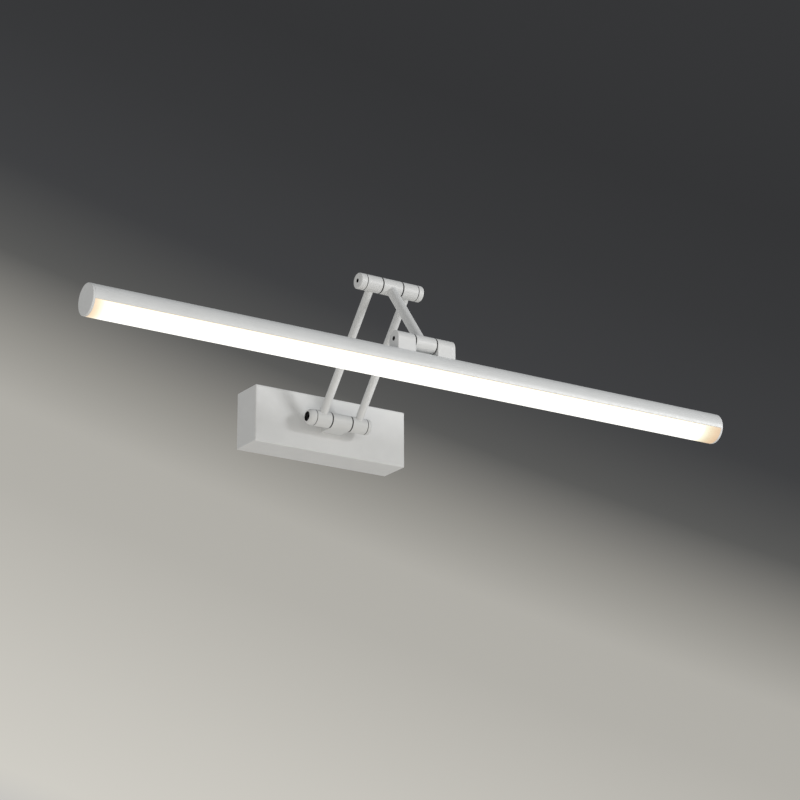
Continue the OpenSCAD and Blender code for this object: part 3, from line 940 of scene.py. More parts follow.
    def rod(self, x: float, start: np.ndarray, end: np.ndarray, radius: float) -> Surface:
        """Builds a hollow rod between two hinge axes, its ends standing in their sockets.

        A point at height h, radius r and angle a is start + h d + r (cos a X + sin a s), where
        d runs along the rod and s is square to it and to X.

        Args:
            x: Distance from the middle plane.
            start: Place of the first axis.
            end: Place of the second axis.
            radius: Outer radius.

        Returns:
            The closed skin, in place.
        """
        run = end - start
        length = float(np.linalg.norm(run))
        along = run / length
        side = np.cross(along, [1, 0, 0])
        h0, h1 = self.socket_floor, length - self.socket_floor
        bore = radius - self.tube_wall
        ring = closed(np.array([(h0, bore), (h0, radius), (h1, radius), (h1, bore)]))
        grid = turned(ring, ring_angles(self.rod_sides))
        points = grid[..., :1] * along + grid[..., 1:2] * np.array([1, 0, 0]) + grid[..., 2:] * side
        return Surface().grid(points + start + [x, 0, 0], wrap=True)

    def washers(self, half: float, bore: float, axis: np.ndarray) -> Surface:
        """Builds the two friction washers beside a centre knuckle, as turned rings.

        Args:
            half: Half of the knuckle's length.
            bore: Radius of their bore.
            axis: A point on the hinge axis.

        Returns:
            The skin of both, in place.
        """
        x0, x1 = half + self.washer_slack, half + self.gap - self.washer_slack
        rim = self.radius - self.washer_step
        ring = closed(rounded(np.array([(x0, bore), (x0, rim), (x1, rim), (x1, bore)]), self.washer_edge))
        skin = Surface()
        for side in (-1, 1):
            skin.grid(turned(ring * [side, 1], ring_angles(self.angles)), wrap=True)
        return skin.moved(axis)

    def paint_gap_shade(self, piece: bpy.types.Object, axis: np.ndarray, *ends: float) -> None:
        """Paints shade on a barrel's rounded edges close to its ends, where they stand in a narrow gap:
        blackens them, so the gap shows darker and wider.

        Args:
            piece: The barrel.
            axis: A point on its hinge axis, in millimetres.
            ends: The places along X of the edges.
        """
        # Painted shade in the gap, not a finish of the part.
        for x in ends:
            for span in ((x - self.rim, x - self.rim_slack), (x + self.rim_slack, x + self.rim)):
                self.paint_black_shade(piece, axis, self.radius + self.skin_slack, span)

    def arch(self, x0: float, x1: float, foot: Foot, pin: Pair, bore: float) -> Surface:
        """Builds a block along X: a half-round crown, flat sides and a foot of any shape.

        The outline in (w, h), w across and h towards the crown, is a half circle of radius
        R - d over straight sides that end on h = -foot(w). The inset d follows a quarter
        circle at each end, which rounds the edges.

        Args:
            x0: Lower end along X.
            x1: Upper end along X.
            foot: Distance of the foot from the axis at w.
            pin: The span along X of the bore; it opens an end that it reaches.
            bore: Radius of the bore.

        Returns:
            The skin with (w, h) in Y and Z, about the hinge axis.
        """
        bend = np.linspace(0, QUARTER, self.edge_steps + 1)
        inset = self.edge * (1 - np.sin(bend))
        run = self.edge * (1 - np.cos(bend))
        rings = []
        for x, d in zip([*(x0 + run), *(x1 - run[::-1])], [*inset, *inset[::-1]]):
            crown = arc(self.radius - d, 0, math.pi, self.arch_steps)
            w = np.linspace(-(self.radius - d), self.radius - d, self.foot_steps + 1)
            rings.append(at_x(x, np.vstack([crown, np.column_stack([w, -foot(w)])])))
        skin = Surface().grid(np.stack(rings), wrap=True)
        hole = circle(bore, self.arch_steps)
        span = [max(pin[0], x0), min(pin[1], x1)]
        skin.grid(np.stack([at_x(x, hole) for x in span]), wrap=True)
        for x, ring, is_open in ((x0, rings[0], pin[0] <= x0), (x1, rings[-1], pin[1] >= x1)):
            single = ring[np.linalg.norm(ring - np.roll(ring, 1, 0), axis=1) > MERGE]
            skin.flat(single, *([at_x(x, hole)] if is_open else []))
        for x, is_blind in ((span[0], pin[0] > x0), (span[1], pin[1] < x1)):
            if is_blind:
                skin.flat(at_x(x, hole))
        return skin


@dataclass
class WallHousing(Barrels):
    """The housing on the wall with the block that carries the base hinge."""

    width: float = 172
    height: float = 58
    depth: float = 36
    wall: float = 1.6
    corner: float = 1.3
    inner_corner: float = 0.4
    corner_steps: int = 6
    screw: SocketScrew = SocketScrew(head_r=2.8, head_h=1.4, shank_r=1.5, hexagon=1.1, deep=1, edge=0.15)
    screw_len: float = 6
    screw_x: float = 60
    screw_y: float = -9
    screw_hole: float = 1.7
    socket_r: float = 2.4
    lip: float = 0.1
    land: float = 0.2
    hole_sides: int = 40
    bracket_t: float = 1.6
    grommet_bore: float = 5
    grommet_seat: float = 7
    grommet_edges: tuple[float, ...] = (0.4, 0.2, 0.1, 0.4, 0.4, 0.5)

    def shell(self) -> Surface:
        """Builds the open-backed shell from an outer and an inner layer.

        Returns:
            The closed skin.
        """
        top, under = self.height / 2, self.height / 2 - self.wall
        mouth = self.screw.head_r + self.lip
        skin = Surface()
        outer = self.layer(skin, 0, self.corner, mouth)
        inner = self.layer(skin, self.wall, self.inner_corner, self.screw_hole)
        skin.grid(np.stack([outer, inner]), wrap=True)
        cone = [(top, mouth), (under + self.land, self.screw_hole), (under, self.screw_hole)]
        for x in (-self.screw_x, self.screw_x):
            skin.grid(np.stack([self.hole(x, r, z) for z, r in cone]), wrap=True)
        return skin

    def hole(self, x: float, radius: float, z: float) -> np.ndarray:
        """Gives the outline of a screw hole in the top.

        Args:
            x: Place of the screw along X.
            radius: Radius of the hole.
            z: Height of the outline.

        Returns:
            An (n, 3) array.
        """
        loop = circle(radius, self.hole_sides) + [x, self.screw_y]
        return np.column_stack([loop, np.full(len(loop), z)])

    def layer(self, skin: Surface, inset: float, r: float, hole: float) -> np.ndarray:
        """Adds one layer of the shell, made of rings of a rounded rectangle.

        A ring has half sizes a - r and b - r grown by r cos t round its corners, and lies at
        y = -depth + r - r sin t, so the front edges and corners are parts of a sphere. The
        flat top is a face of its own with two holes.

        Args:
            skin: The surface to add to.
            inset: Distance of the layer inside the outer one.
            r: Radius of its edges.
            hole: Radius of the two holes.

        Returns:
            The layer's outline at the wall.
        """
        a, b = self.width / 2 - inset, self.height / 2 - inset
        front_y = r + inset - self.depth
        turn = np.linspace(0, QUARTER, self.corner_steps + 1)

        def ring(radius: float, y: float) -> np.ndarray:
            """Gives the outline at one depth, from the right end of the top edge round to it.

            Args:
                radius: How far the corners' arcs reach at this depth.
                y: The depth.

            Returns:
                An (n, 3) array.
            """
            parts = []
            for k, (sx, sz) in enumerate(((1, 1), (-1, 1), (-1, -1), (1, -1))):
                t = turn + k * QUARTER
                x = sx * (a - r) + radius * np.cos(t)
                z = sz * (b - r) + radius * np.sin(t)
                parts.append(np.column_stack([x, np.full(len(t), y), z]))
            return np.roll(np.vstack(parts), -len(turn), 0)

        rings = np.stack([ring(r, 0), *(ring(r * math.cos(t), front_y - r * math.sin(t)) for t in turn)])
        skin.grid(rings[1:], wrap=True)
        skin.grid(rings[:2])
        skin.flat(rings[-1][:: len(turn)])
        top = np.array([(a - r, 0, b), (-a + r, 0, b), (-a + r, front_y, b), (a - r, front_y, b)])
        skin.flat(top, *(self.hole(x, hole, b) for x in (-self.screw_x, self.screw_x)))
        return rings[0]

    def screws(self) -> Surface:
        """Builds the two countersunk screws in the housing's top.

        Each is a socket screw whose head narrows to its shank: at depth h under the face, a
        point outside the socket is drawn in to shank + (head - shank) (1 - h / head height).

        Returns:
            The skin of both, in place.
        """
        screw = self.screw
        skin = Surface()
        for x in (-self.screw_x, self.screw_x):
            since = len(skin.points)
            straight = screw.surface(0, self.screw_len)
            points = np.vstack(straight.points)
            cone = np.clip(1 - points[:, 0] / screw.head_h, 0, 1)
            reach = np.linalg.norm(points[:, 1:], axis=1)
            wide = (screw.shank_r + (screw.head_r - screw.shank_r) * cone) / np.maximum(screw.head_r, reach)
            points[:, 1:] *= np.where(reach > self.socket_r, wide, 1)[:, None]
            skin.take(np.column_stack([points[:, 2], points[:, 1], -points[:, 0]]), straight.faces)
            skin.moved(np.array([x, self.screw_y, self.height / 2]), since)
        return skin

    def grommet(self) -> Surface:
        """Builds the rubber ring in the bracket, turned about Y from a rounded profile.

        Returns:
            The closed skin, in place.
        """
        low, high = (np.array(p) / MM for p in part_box("cable_grommet"))
        lip_r = (high[0] - low[0]) / 2
        bore, seat, step = self.grommet_bore, self.grommet_seat, -self.bracket_t
        corners = [(high[1], bore), (high[1], seat), (step, seat), (step, lip_r), (low[1], lip_r)]
        corners += [(low[1], bore)]
        ring = closed(rounded(np.array(corners), list(self.grommet_edges)))
        grid = turned(ring, ring_angles(self.rod_sides))[..., [1, 0, 2]]
        centre = (low + high) / 2 * [1, 0, 1]
        return Surface().grid(grid + centre, wrap=True)

    def build(self) -> None:
        """Makes the housing, its screws and the hinge block, and dresses what lies inside."""
        axis = hinge("base_pivot")
        shell = self.shell().mesh("housing_shell")
        self.place(shell, Body.BASE, Slot.WHITE_STEEL, "base_housing")
        self.place(self.screws().mesh("housing_top_screws"), Body.BASE, Slot.WHITE_STEEL, "housing_screws")
        reach = -axis[1] - self.depth
        half = self.centre_half
        block = self.arch(-half, half, lambda w: np.full(w.shape, reach), (-half, half), self.bolt_bore)
        block.points = [np.column_stack([p[:, 0], -p[:, 2], p[:, 1]]) for p in block.points]
        block = block.moved(axis).mesh("hinge_block")
        self.place(block, Body.BASE, Slot.WHITE_STEEL, "base_pivot_block")
        # Painted shade on the block's edges in the gaps beside it.
        self.paint_gap_shade(block, axis, -half, half)
        self.dress(Slot.BRIGHT_STEEL, "wall_bracket", "earth_stud", "driver_screws", "block_screws")
        self.dress(Slot.WHITE_PLASTIC, "terminal_block", "led_driver", "mains_leads", "output_lead")
        self.place(self.grommet().mesh("grommet_ring"), Body.BASE, Slot.BLACK_RUBBER, "cable_grommet")


@dataclass(frozen=True)
class CapShape:
    """Sizes of one barrel cap; places are distances from the middle plane."""

    side: int
    face: float
    depth: float
    width: float
    hole: float
    lip: float
    room: float
    floor: float


@dataclass
class LowerArm(Barrels):
    """The two rods with the side knuckles, caps and bolts of the base hinge and elbow."""

    seam: float = 0.4
    neck_r: float = 7
    spigot: float = 2.3
    room_r: float = 4.95
    cap_wall: float = 1.4
    dome_face: float = 36.8
    dome_start: float = 2.1
    dome_rim: float = 0.5
    dome_steps: int = 16
    mouth_r: float = 4.7
    mouth_lip: float = 0.25
    key_face: float = 36.5
    key_edge: Pair = (1.3, 1.3)
    key_hole: float = 2
    key_lip: float = 0.12
    base_face: float = 34.4
    base_edge: Pair = (3, 2.8)
    elbow_face: float = 35.2
    elbow_edge: Pair = (1.8, 1.6)
    head_seat: float = 30.2
    bolt_end: float = 31.9
    bolt: SocketScrew = SocketScrew(head_r=4.3, head_h=5, shank_r=2.5, hexagon=2.3, deep=3, edge=0.5)

    def cup(self, side: int, face: float, edge: Pair, hole: float = 0) -> CapShape:
        """Gives the sizes of a cap with an even wall round its nut room or bolt room.

        Args:
            side: -1 for the left-hand end, 1 for the right-hand end.
            face: Distance of the outer face from the middle plane.
            edge: Length along the axis and width across the face of the rounded edge.
            hole: Radius of the hole in the face, 0 for a closed cap.

        Returns:
            The sizes.
        """
        return CapShape(side, face, *edge, hole, self.key_lip, self.room_r, face - self.cap_wall)

    def cap(self, shape: CapShape) -> Surface:
        """Builds a cap, turned from one profile that closes on itself or on the axis.

        Args:
            shape: Its sizes.

        Returns:
            The closed skin about the hinge axis.
        """
        seat = self.side_end + self.seam
        foot = self.side_end - self.spigot
        inner = self.counterbore_r - self.fit_gap
        spigot = [(foot, shape.room), (foot, inner), (self.side_end, inner), (self.side_end, self.neck_r)]
        spigot += [(seat, self.neck_r), (seat, self.radius - self.edge)]
        lead_in, _ = self.edges(seat, shape.face)
        edge = ellipse_edge(shape.face, self.radius, shape.depth, shape.width, self.dome_steps)
        outside = np.vstack([spigot, lead_in, edge])
        lip, floor = shape.lip, shape.floor
        if shape.hole:
            mouth = ellipse_edge(shape.face, -shape.hole, lip, lip, self.edge_steps)[::-1] * [1, -1]
            profile = closed(np.vstack([outside, mouth, [(floor, shape.hole), (floor, shape.room)]]))
        else:
            profile = np.vstack([[(floor, 0), (floor, shape.room)], outside, [(shape.face, 0)]])
        return Surface().grid(turned(profile * [shape.side, 1], ring_angles(self.angles)), wrap=True)

    def barrels(self, base: np.ndarray, elbow: np.ndarray) -> None:
        """Makes the four side knuckles.

        Args:
            base: A point on the base hinge's axis.
            elbow: A point on the elbow's axis.
        """
        up = (elbow - base)[1:] / np.linalg.norm(elbow - base)
        inner = self.centre_half + self.gap
        for where, axis, lean in (("base", base, up), ("elbow", elbow, -up)):
            for name, side in (("left", -1), ("right", 1)):
                ends = sorted((side * inner, side * self.side_end))
                knuckle = self.socketed_barrel(*ends, self.bolt_bore, self.rod_r, lean, seat=side)
                barrel = knuckle.moved(axis).mesh(f"{where}_{name}_barrel")
                self.place(barrel, Body.LOWER, Slot.WHITE_STEEL, f"{where}_{name}_knuckle")
                # Painted shade on the knuckle's edges in the gaps.
                self.paint_gap_shade(barrel, axis, *ends)

    def caps(self, base: np.ndarray, elbow: np.ndarray) -> None:
        """Makes the four caps and paints shade on them: blackens their seams and the insides of their
        holes, where shade falls.

        Args:
            base: A point on the base hinge's axis.
            elbow: A point on the elbow's axis.
        """
        depth = self.dome_face - self.side_end - self.dome_start
        width = self.radius - self.mouth_r - self.dome_rim
        mouth = (self.mouth_r, self.mouth_lip)
        dome = CapShape(-1, self.dome_face, depth, width, *mouth, self.bolt_bore, self.head_seat)
        shapes = {
            "base_left_cap": (base, dome),
            "base_right_cap": (base, self.cup(1, self.base_face, self.base_edge)),
            "elbow_left_cap": (elbow, self.cup(-1, self.key_face, self.key_edge, self.key_hole)),
            "elbow_right_cap": (elbow, self.cup(1, self.elbow_face, self.elbow_edge)),
        }
        slack, seat = self.inner_slack, self.side_end + self.seam
        for node, (axis, shape) in shapes.items():
            piece = self.cap(shape).moved(axis).mesh(node + "_dome")
            self.place(piece, Body.LOWER, Slot.WHITE_STEEL, node)
            seam = sorted((shape.side * (self.side_end - slack), shape.side * (seat + slack)))
            # Painted shade: blackens the neck in the seam and the edge beside it, so the seam shows as a
            # dark gap.
            self.paint_black_shade(piece, axis, self.radius - self.edge, tuple(seam))
            self.paint_gap_shade(piece, axis, shape.side * seat)
            if shape.hole:
                # Painted shade: blackens the hole's wall and the room behind it.
                reach = max(shape.hole, self.room_r) + slack
                self.paint_black_shade(piece, axis, reach, (slack - shape.face, -self.side_end))

    def build(self) -> None:
        """Makes the knuckles, caps, bolts, washers and rods of the lower arm."""
        base, elbow = hinge("base_pivot"), hinge("elbow")
        self.barrels(base, elbow)
        self.caps(base, elbow)
        faces = {"base": -self.head_seat, "elbow": self.counterbore_depth - self.side_end}
        for (where, seat), axis in zip(faces.items(), (base, elbow)):
            bolt = self.bolt.surface(seat - self.bolt.head_h, self.bolt_end).moved(axis)
            piece = bolt.mesh(f"{where}_socket_bolt")
            self.place(piece, Body.LOWER, Slot.BLACK_STEEL, f"{where}_bolt")
        for where, axis in (("base", base), ("elbow", elbow)):
            rings = self.washers(self.centre_half, self.bolt_bore, axis).mesh(f"{where}_friction_rings")
            self.place(rings, Body.LOWER, Slot.BLACK_NYLON, f"{where}_washers")
        for name, x in (("left", -self.rod_x), ("right", self.rod_x)):
            rod = self.rod(x, base, elbow, self.rod_r).mesh(f"{name}_arm_rod")
            self.place(rod, Body.LOWER, Slot.WHITE_STEEL, f"{name}_rod")
        self.dress(Slot.BRIGHT_STEEL, "base_nut", "elbow_nut")
        self.dress(Slot.WHITE_PLASTIC, "rod_lead")


@dataclass
class UpperArm(Barrels):
    """The single tube between the elbow and the lamp head."""

    def build(self) -> None:
        """Makes the two centre knuckles and the tube between them."""
        elbow, head = hinge("elbow"), hinge("head_tilt")
        down = (head - elbow)[1:] / np.linalg.norm(head - elbow)
        ends = (
            ("elbow_centre", elbow, self.centre_half, self.bolt_r, down),
            ("head_centre", head, self.head_half, self.pin_r, -down),
        )
        for name, axis, half, bore, lean in ends:
            knuckle = self.socketed_barrel(-half, half, bore + self.turn_gap, self.arm_r, lean)
            barrel = knuckle.moved(axis).mesh(f"{name}_barrel")
            self.place(barrel, Body.UPPER, Slot.WHITE_STEEL, f"{name}_knuckle")
            # Painted shade on the knuckle's edges in the gaps.
            self.paint_gap_shade(barrel, axis, -half, half)
        tube = self.rod(0, elbow, head, self.arm_r).mesh("upper_arm_pipe")
        self.place(tube, Body.UPPER, Slot.WHITE_STEEL, "upper_arm_tube")
        self.dress(Slot.WHITE_PLASTIC, "upper_lead")


@dataclass
class LampHead(Barrels):
    """The lamp tube with its ears, pin, profile, diffuser and end caps."""

    drop: float = 24.5
    ear_len: float = 19.8
    recess: float = 0.5
    blind: float = 3.5
    pin_end_gap: float = 0.5
    pin: SocketScrew = SocketScrew(head_r=2.2, head_h=1, shank_r=2.2, hexagon=1.3, deep=3, edge=0.3)
    tube_r: float = 15
    tube_steps: int = 120
    hollow_steps: int = 72
    web_steps: int = 6
    profile_wall: float = 1.8
    split: float = math.radians(11.5)
    split_turn: float = 0.012
    split_edge: float = 0.25
    split_inner_edge: float = 0.15
    split_gap: float = 0.2
    diffuser_t: float = 2.2
    diffuser_edge: float = 0.2
    diffuser_steps: int = 96
    web_z: float = 0.5
    web_t: float = 1.6
    tongue_r: float = 13.1
    tongue_t: float = 1.2
    tongue_top: float = -0.4
    tongue_deep: float = 3
    tongue_steps: int = 4
    disc_t: float = 2.5
    disc_edge: float = 0.6
    disc_edge_steps: int = 6
    disc_back_edge: float = 0.25
    disc_back_steps: int = 3
    disc_sides: int = 144
    plug_len: float = 6
    plug_gap: float = 0.15

    def build(self) -> None:
        """Makes the ears, the pin, the washers and the lamp tube."""
        axis = hinge("head_tilt")
        tube_axis = axis - [0, 0, self.drop]
        self.hinge_pieces(axis)
        length = tube_half() - self.disc_t
        shell = self.extruded(length, *self.profile_section()).moved(tube_axis)
        self.place(shell.mesh("tube_shell"), Body.HEAD, Slot.WHITE_ALUMINIUM, "tube_profile")
        cover = self.extruded(length, self.diffuser_section()).moved(tube_axis)
        self.place(cover.mesh("opal_cover"), Body.HEAD, Slot.OPAL, "diffuser")
        for name, side in (("left", -1), ("right", 1)):
            cap = self.end_cap(side).moved(tube_axis).mesh(f"{name}_end_disc")
            self.place(cap, Body.HEAD, Slot.WHITE_ALUMINIUM, f"{name}_end_cap")
        self.dress(Slot.BRIGHT_STEEL, "ear_screws")
        self.dress(Slot.CIRCUIT_BOARD, "led_board")
        self.dress(Slot.LED_PHOSPHOR, "leds")
        self.dress(Slot.WHITE_PLASTIC, "head_lead")

    def hinge_pieces(self, axis: np.ndarray) -> None:
        """Makes the two ears, the pin and its washers.

        Args:
            axis: A point on the hinge axis.
        """
        start = self.head_half + self.gap
        end = start + self.ear_len
        saddle = self.tube_r + self.fit_gap
        bore = self.pin_r + self.turn_gap
        slack = self.inner_slack

        def foot(w: np.ndarray) -> np.ndarray:
            """Gives the depth of the saddle below the hinge axis: drop - sqrt(r^2 - w^2)."""
            return self.drop - np.sqrt(saddle**2 - w**2)

        ears = {
            "left_ear": (-end, -start, (-end, -start)),
            "right_ear": (start, end, (start, end - self.blind)),
        }
        for node, (x0, x1, drilled) in ears.items():
            ear = self.arch(x0, x1, foot, drilled, bore).moved(axis).mesh(node + "_block")
            self.place(ear, Body.HEAD, Slot.WHITE_STEEL, node)
            # Painted shade: blackens the ear's bore, and its inner edge in the gap.
            self.paint_black_shade(ear, axis, bore + slack, (x0 + slack, x1 - slack))
            self.paint_gap_shade(ear, axis, x1 if x0 < 0 else x0)
        pin = self.pin.surface(self.recess - end, end - self.blind - self.pin_end_gap).moved(axis)
        self.place(pin.mesh("head_hinge_pin"), Body.HEAD, Slot.BLACK_STEEL, "head_pin")
        rings = self.washers(self.head_half, bore, axis)
        self.place(rings.mesh("head_friction_rings"), Body.HEAD, Slot.BLACK_NYLON, "head_washers")

    def extruded(self, half: float, outline: np.ndarray, *holes: np.ndarray) -> Surface:
        """Carries a section in (y, z) along X from -half to half, with flat ends.

        Args:
            half: Half of the length.
            outline: The section's outline.
            holes: Outlines of hollows in it.

        Returns:
            The closed skin.
        """
        skin = Surface()
        for loop in (outline, *holes):
            skin.grid(np.stack([at_x(-half, loop), at_x(half, loop)]), wrap=True)
        for x in (-half, half):
            skin.flat(at_x(x, outline), *(at_x(x, h) for h in holes))
        return skin

    def profile_section(self) -> tuple[np.ndarray, np.ndarray]:
        """Works out the profile's section, an arc over the web with bevelled lips.

        Returns:
            The outline, and the hollow above the web.
        """
        inner_r = self.tube_r - self.profile_wall
        lip = -self.tube_r * math.sin(self.split)
        outer_end = math.asin(lip / self.tube_r)
        inner_end = math.asin(lip / inner_r)
        below = math.asin(self.web_z / inner_r)
        above = math.asin((self.web_z + self.web_t) / inner_r)
        soft = self.split_turn
        outer = arc(self.tube_r, outer_end + soft, math.pi - outer_end - soft, self.tube_steps)
        right = arc(inner_r, below, inner_end + soft, self.web_steps)
        left = arc(inner_r, math.pi - inner_end - soft, math.pi - below, self.web_steps)
        hollow = arc(inner_r, above, math.pi - above, self.hollow_steps)
        outside = np.array([(self.tube_r * math.cos(outer_end) - self.split_edge, lip)])
        inside = np.array([(inner_r * math.cos(inner_end) + self.split_inner_edge, lip)])
        mirror = [-1, 1]
        return np.vstack([outer, outside * mirror, inside * mirror, left, right, inside, outside]), hollow

    def diffuser_section(self) -> np.ndarray:
        """Works out the diffuser's section, a lower arc with two tongues inside the profile.

        Returns:
            The outline.
        """
        lip = -self.tube_r * math.sin(self.split) - self.split_gap
        shell_r = self.tube_r - self.diffuser_t
        tongue_in = self.tongue_r - self.tongue_t
        shoulder = lip + self.split_gap - self.tongue_deep
        turn = math.asin(lip / self.tube_r)
        start = math.pi - turn + self.split_turn
        outer = arc(self.tube_r, start, FULL_TURN + turn - self.split_turn, self.diffuser_steps)
        top, low = math.asin(self.tongue_top / self.tongue_r), math.asin(lip / self.tongue_r)
        rise = arc(self.tongue_r, low, top, self.tongue_steps)
        top, low = math.asin(self.tongue_top / tongue_in), math.asin(shoulder / tongue_in)
        fall = arc(tongue_in, top, low, self.web_steps)
        end = math.asin(shoulder / shell_r)
        bottom = arc(shell_r, end, -math.pi - end, self.hollow_steps)
        mirror = [-1, 1]
        edge = np.array([(self.tube_r * math.cos(turn) - self.diffuser_edge, lip)])
        inside = [bottom, fall[::-1] * mirror, rise[::-1] * mirror, edge * mirror]
        return np.vstack([outer, edge, rise, fall, *inside])

    def end_cap(self, side: int) -> Surface:
        """Builds an end cap: a disc with a rounded edge and a half-round plug above the web.

        Args:
            side: -1 for the left end, 1 for the right end.

        Returns:
            The skin of the disc and of the plug, about the tube's axis.
        """
        face = tube_half()
        back = face - self.disc_t
        edge = ellipse_edge(face, self.tube_r, self.disc_edge, self.disc_edge, self.disc_edge_steps)
        soft = self.disc_back_edge
        lead_in = ellipse_edge(-back, self.tube_r, soft, soft, self.disc_back_steps)[::-1] * [-1, 1]
        profile = np.vstack([[(back, 0)], lead_in, edge, [(face, 0)]])
        skin = Surface().grid(turned(profile * [side, 1], ring_angles(self.disc_sides)), wrap=True)
        plug_r = self.tube_r - self.profile_wall - self.plug_gap
        floor = math.asin((self.web_z + self.web_t + self.plug_gap) / plug_r)
        loop = arc(plug_r, floor, math.pi - floor, self.arch_steps)
        ends = (side * (back - self.plug_len), side * back)
        skin.grid(np.stack([at_x(x, loop) for x in ends]), wrap=True)
        for x in ends:
            skin.flat(at_x(x, loop))
        return skin


# ---------------------------------------------------------------- studio


class Tint(Enum):
    """Casts of the backdrop's greys."""

    WARM = (1.03, 1.0, 0.92)
    PLAIN = (1.0, 1.0, 0.97)
    COOL = (0.98, 1.0, 1.05)


@dataclass(frozen=True)
class SoftLight:
    """A square area light that faces the lamp, in metres and watts."""

    name: str
    place: Triple
    size: float
    power: float
    colour: Colour = (1, 1, 1)

    def build(self, target: Vector) -> None:
        """Adds the light, which the camera doesn't see itself.

        Args:
            target: What it faces.
        """
        data = bpy.data.lights.new(self.name, "AREA")
        data.size = self.size
        data.energy = self.power
        data.color = self.colour
        lamp = bpy.data.objects.new(self.name, data)
        lamp.location = self.place
        lamp.rotation_euler = (Vector(self.place) - target).to_track_quat("Z", "Y").to_euler()
        lamp.visible_camera = False
        bpy.context.scene.collection.objects.link(lamp)


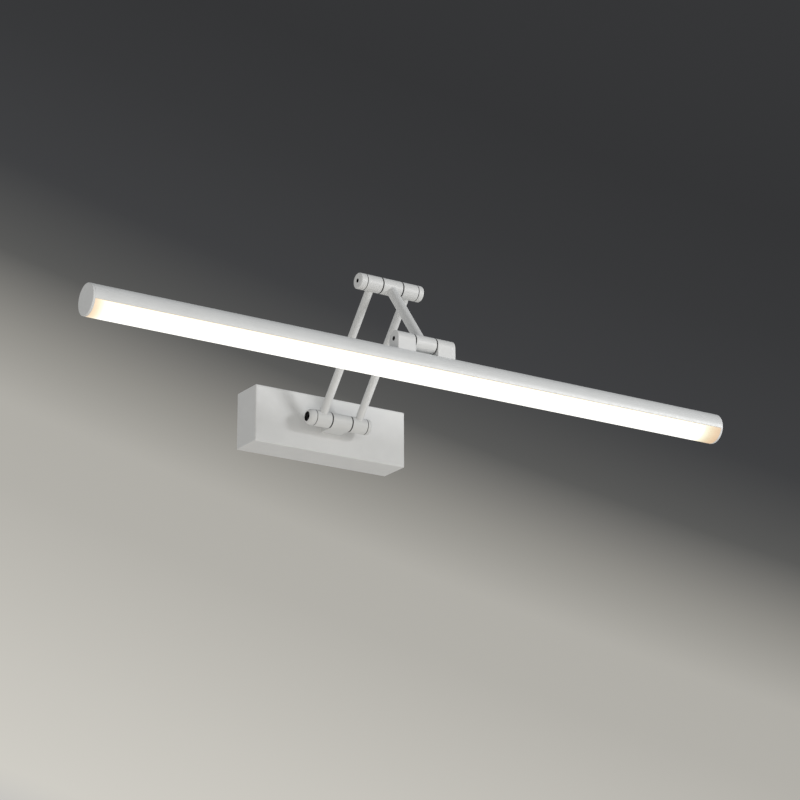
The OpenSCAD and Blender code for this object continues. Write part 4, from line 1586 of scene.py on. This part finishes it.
@dataclass(frozen=True)
class Studio:
    """Pale floor, soft lights, a graded backdrop and the camera, in metres and degrees.

    Only the floor's blotches have their size in millimetres, as every noise does.
    """

    floor_z: float = -1.3
    floor_size: float = 90
    floor_blotch: float = 400
    floor_shades: tuple[Colour, Colour] = ((0.69, 0.685, 0.67), (0.72, 0.715, 0.70))
    floor_glow: Colour = (1, 0.97, 0.92)
    floor_strength: float = 0.26
    floor_roughness: float = 0.85
    target: Triple = (0.06664, -0.0581, 0.03284)
    azimuth: float = -32.68
    elevation: float = -18.34
    roll: float = -0.167
    distance: float = 2.598
    lens: float = 117.065
    far: float = 100
    fill: Colour = (0.985, 0.995, 1)
    ambient: Pair = (0.69, 0.11)
    fade: Pair = (-0.15, 0.9)
    tilt: Triple = (0.32, -0.205, 1.0)
    # Painted light on the backdrop: a bright warm band low down that falls off to near black above.
    greys: tuple[tuple[float, float, Tint], ...] = (
        (0.0, 0.40, Tint.COOL),
        (0.08, 0.46, Tint.COOL),
        (0.12, 0.61, Tint.WARM),
        (0.16, 0.55, Tint.WARM),
        (0.2, 0.48, Tint.WARM),
        (0.225, 0.435, Tint.WARM),
        (0.255, 0.42, Tint.WARM),
        (0.282, 0.27, Tint.WARM),
        (0.309, 0.10, Tint.PLAIN),
        (0.341, 0.052, Tint.COOL),
        (0.389, 0.041, Tint.COOL),
        (0.43, 0.036, Tint.COOL),
        (0.6, 0.04, Tint.COOL),
    )
    lights: tuple[SoftLight, ...] = (
        SoftLight("key", (1.9, -2.5, 0.45), size=0.8, power=33),
        SoftLight("top_light", (0.2, -0.6, 2.6), size=0.9, power=3.5),
        SoftLight("warm_bounce", (-0.9, -1.3, -1.2), size=1.2, power=7, colour=(1, 0.91, 0.80)),
    )

    def floor(self) -> None:
        """Lays a flat pale floor with a faint mottle."""
        half = self.floor_size / 2
        corners = np.array([(-half, -half, 0), (half, -half, 0), (half, half, 0), (-half, half, 0)])
        data = bpy.data.meshes.new("floor")
        data.from_pydata(corners + [0, 0, self.floor_z], [], [[0, 1, 2, 3]])
        plane = bpy.data.objects.new("floor", data)
        bpy.context.scene.collection.objects.link(plane)
        g = Graph("pale_floor")
        mottle = g.ramp(g.noise(self.floor_blotch, detail=3), list(zip(g.most, self.floor_shades)))
        g.join(mottle, g.shader.inputs["Base Color"])
        g.set(Roughness=self.floor_roughness)
        g.set(Emission_Color=(*self.floor_glow, 1), Emission_Strength=self.floor_strength)
        data.materials.append(g.material)

    def backdrop(self) -> None:
        """Grades the surroundings by direction, with one grade for the camera and one for light.

        The camera sees greys by the dot product of a direction with the tilted up vector; they paint a warm
        pool of light low down that fades to dark above.
        The lamp is lit by a pale fill that weakens from below to above.
        """
        world = bpy.data.worlds.new("studio")
        world.use_nodes = True
        bpy.context.scene.world = world
        g = Nodes(world.node_tree)
        direction = g.add("TexCoord").outputs["Generated"]
        height = g.add("VectorMath")
        height.operation = "DOT_PRODUCT"
        height.inputs[1].default_value = self.tilt
        g.join(direction, height.inputs[0])
        stops = [(level, tuple(grey * c for c in tint.value)) for level, grey, tint in self.greys]
        seen = g.add("Background")
        g.join(g.ramp(height.outputs["Value"], stops), seen.inputs["Color"])
        axes = g.add("SeparateXYZ")
        g.join(direction, axes.inputs["Vector"])
        fill = g.add("Background")
        fill.inputs["Color"].default_value = (*self.fill, 1)
        g.join(g.spread(axes.outputs["Z"], self.fade, self.ambient), fill.inputs["Strength"])
        mix = g.add("MixShader")
        g.join(g.add("LightPath").outputs["Is Camera Ray"], mix.inputs["Fac"])
        g.join(fill.outputs["Background"], mix.inputs[1])
        g.join(seen.outputs["Background"], mix.inputs[2])
        g.join(mix.outputs["Shader"], g.add("OutputWorld").inputs["Surface"])

    def camera(self) -> None:
        """Stands the camera on its line to the target, turned by azimuth, elevation and roll."""
        a, e = math.radians(self.azimuth), math.radians(self.elevation)
        back = Vector((math.sin(a) * math.cos(e), -math.cos(a) * math.cos(e), math.sin(e)))
        right = Vector((0, 0, 1)).cross(back).normalized()
        right.rotate(Matrix.Rotation(math.radians(self.roll), 3, back))
        up = back.cross(right)
        data = bpy.data.cameras.new("camera")
        data.lens = self.lens
        data.clip_end = self.far
        camera = bpy.data.objects.new("camera", data)
        turn = Matrix((right, up, back)).transposed().to_4x4()
        camera.matrix_world = Matrix.Translation(Vector(self.target) + back * self.distance) @ turn
        bpy.context.scene.collection.objects.link(camera)
        bpy.context.scene.camera = camera

    def build(self) -> None:
        """Sets up the whole studio."""
        self.camera()
        self.floor()
        self.backdrop()
        for light in self.lights:
            light.build(Vector(self.target))
        bpy.context.scene.view_settings.view_transform = "Standard"


def finishes() -> dict[Slot, bpy.types.Material]:
    """Makes every finish once.

    Returns:
        The material of each slot.
    """
    split_z = hinge("head_tilt")[2] - LampHead.drop - LampHead.tube_r * math.sin(LampHead.split)
    drawn = (0.06, 1, 1)
    kinds = [
        PowderCoat(),
        PowderCoat(
            "white_tube_coat", Slot.WHITE_ALUMINIUM, (0.785, 0.80, 0.805),
            roughness=0.36, peel_size=0.7, peel_height=0.012,
        ),
        Metal("zinc_plated_steel", Slot.BRIGHT_STEEL, (0.62, 0.63, 0.65), 0.32, streak=drawn),
        Metal("black_oxide_steel", Slot.BLACK_STEEL, (0.035, 0.035, 0.038), 0.34, metallic=0.85),
        # Black nylon is the washers' own finish and also serves as the painted shade in holes, seams and
        # gaps.
        Moulded("black_nylon", Slot.BLACK_NYLON, (0.008, 0.008, 0.009), 0.7),
        Moulded(
            "black_rubber", Slot.BLACK_RUBBER, (0.025, 0.025, 0.025),
            roughness=0.7, texture_size=0.5, texture_height=0.03,
        ),
        Moulded("white_plastic", Slot.WHITE_PLASTIC, (0.82, 0.82, 0.80), 0.42),
        Moulded(
            "circuit_board", Slot.CIRCUIT_BOARD, (0.78, 0.80, 0.78),
            roughness=0.35, texture_size=0.8, texture_height=0.01,
        ),
        Phosphor(),
        Opal(tube_half() - LampHead.disc_t, split_z),
    ]
    return {kind.slot: kind.material() for kind in kinds}


def main() -> None:
    """Builds the studio and the lamp."""
    logging.basicConfig(level=logging.INFO, format="%(name)s: %(message)s")
    Studio().build()
    coats = finishes()
    total = 0
    for kind in (WallHousing, LowerArm, UpperArm, LampHead):
        assembly = kind(coats)
        assembly.build()
        total += assembly.count
    log.info("%d pieces in all", total)


if __name__ == "__main__":
    main()
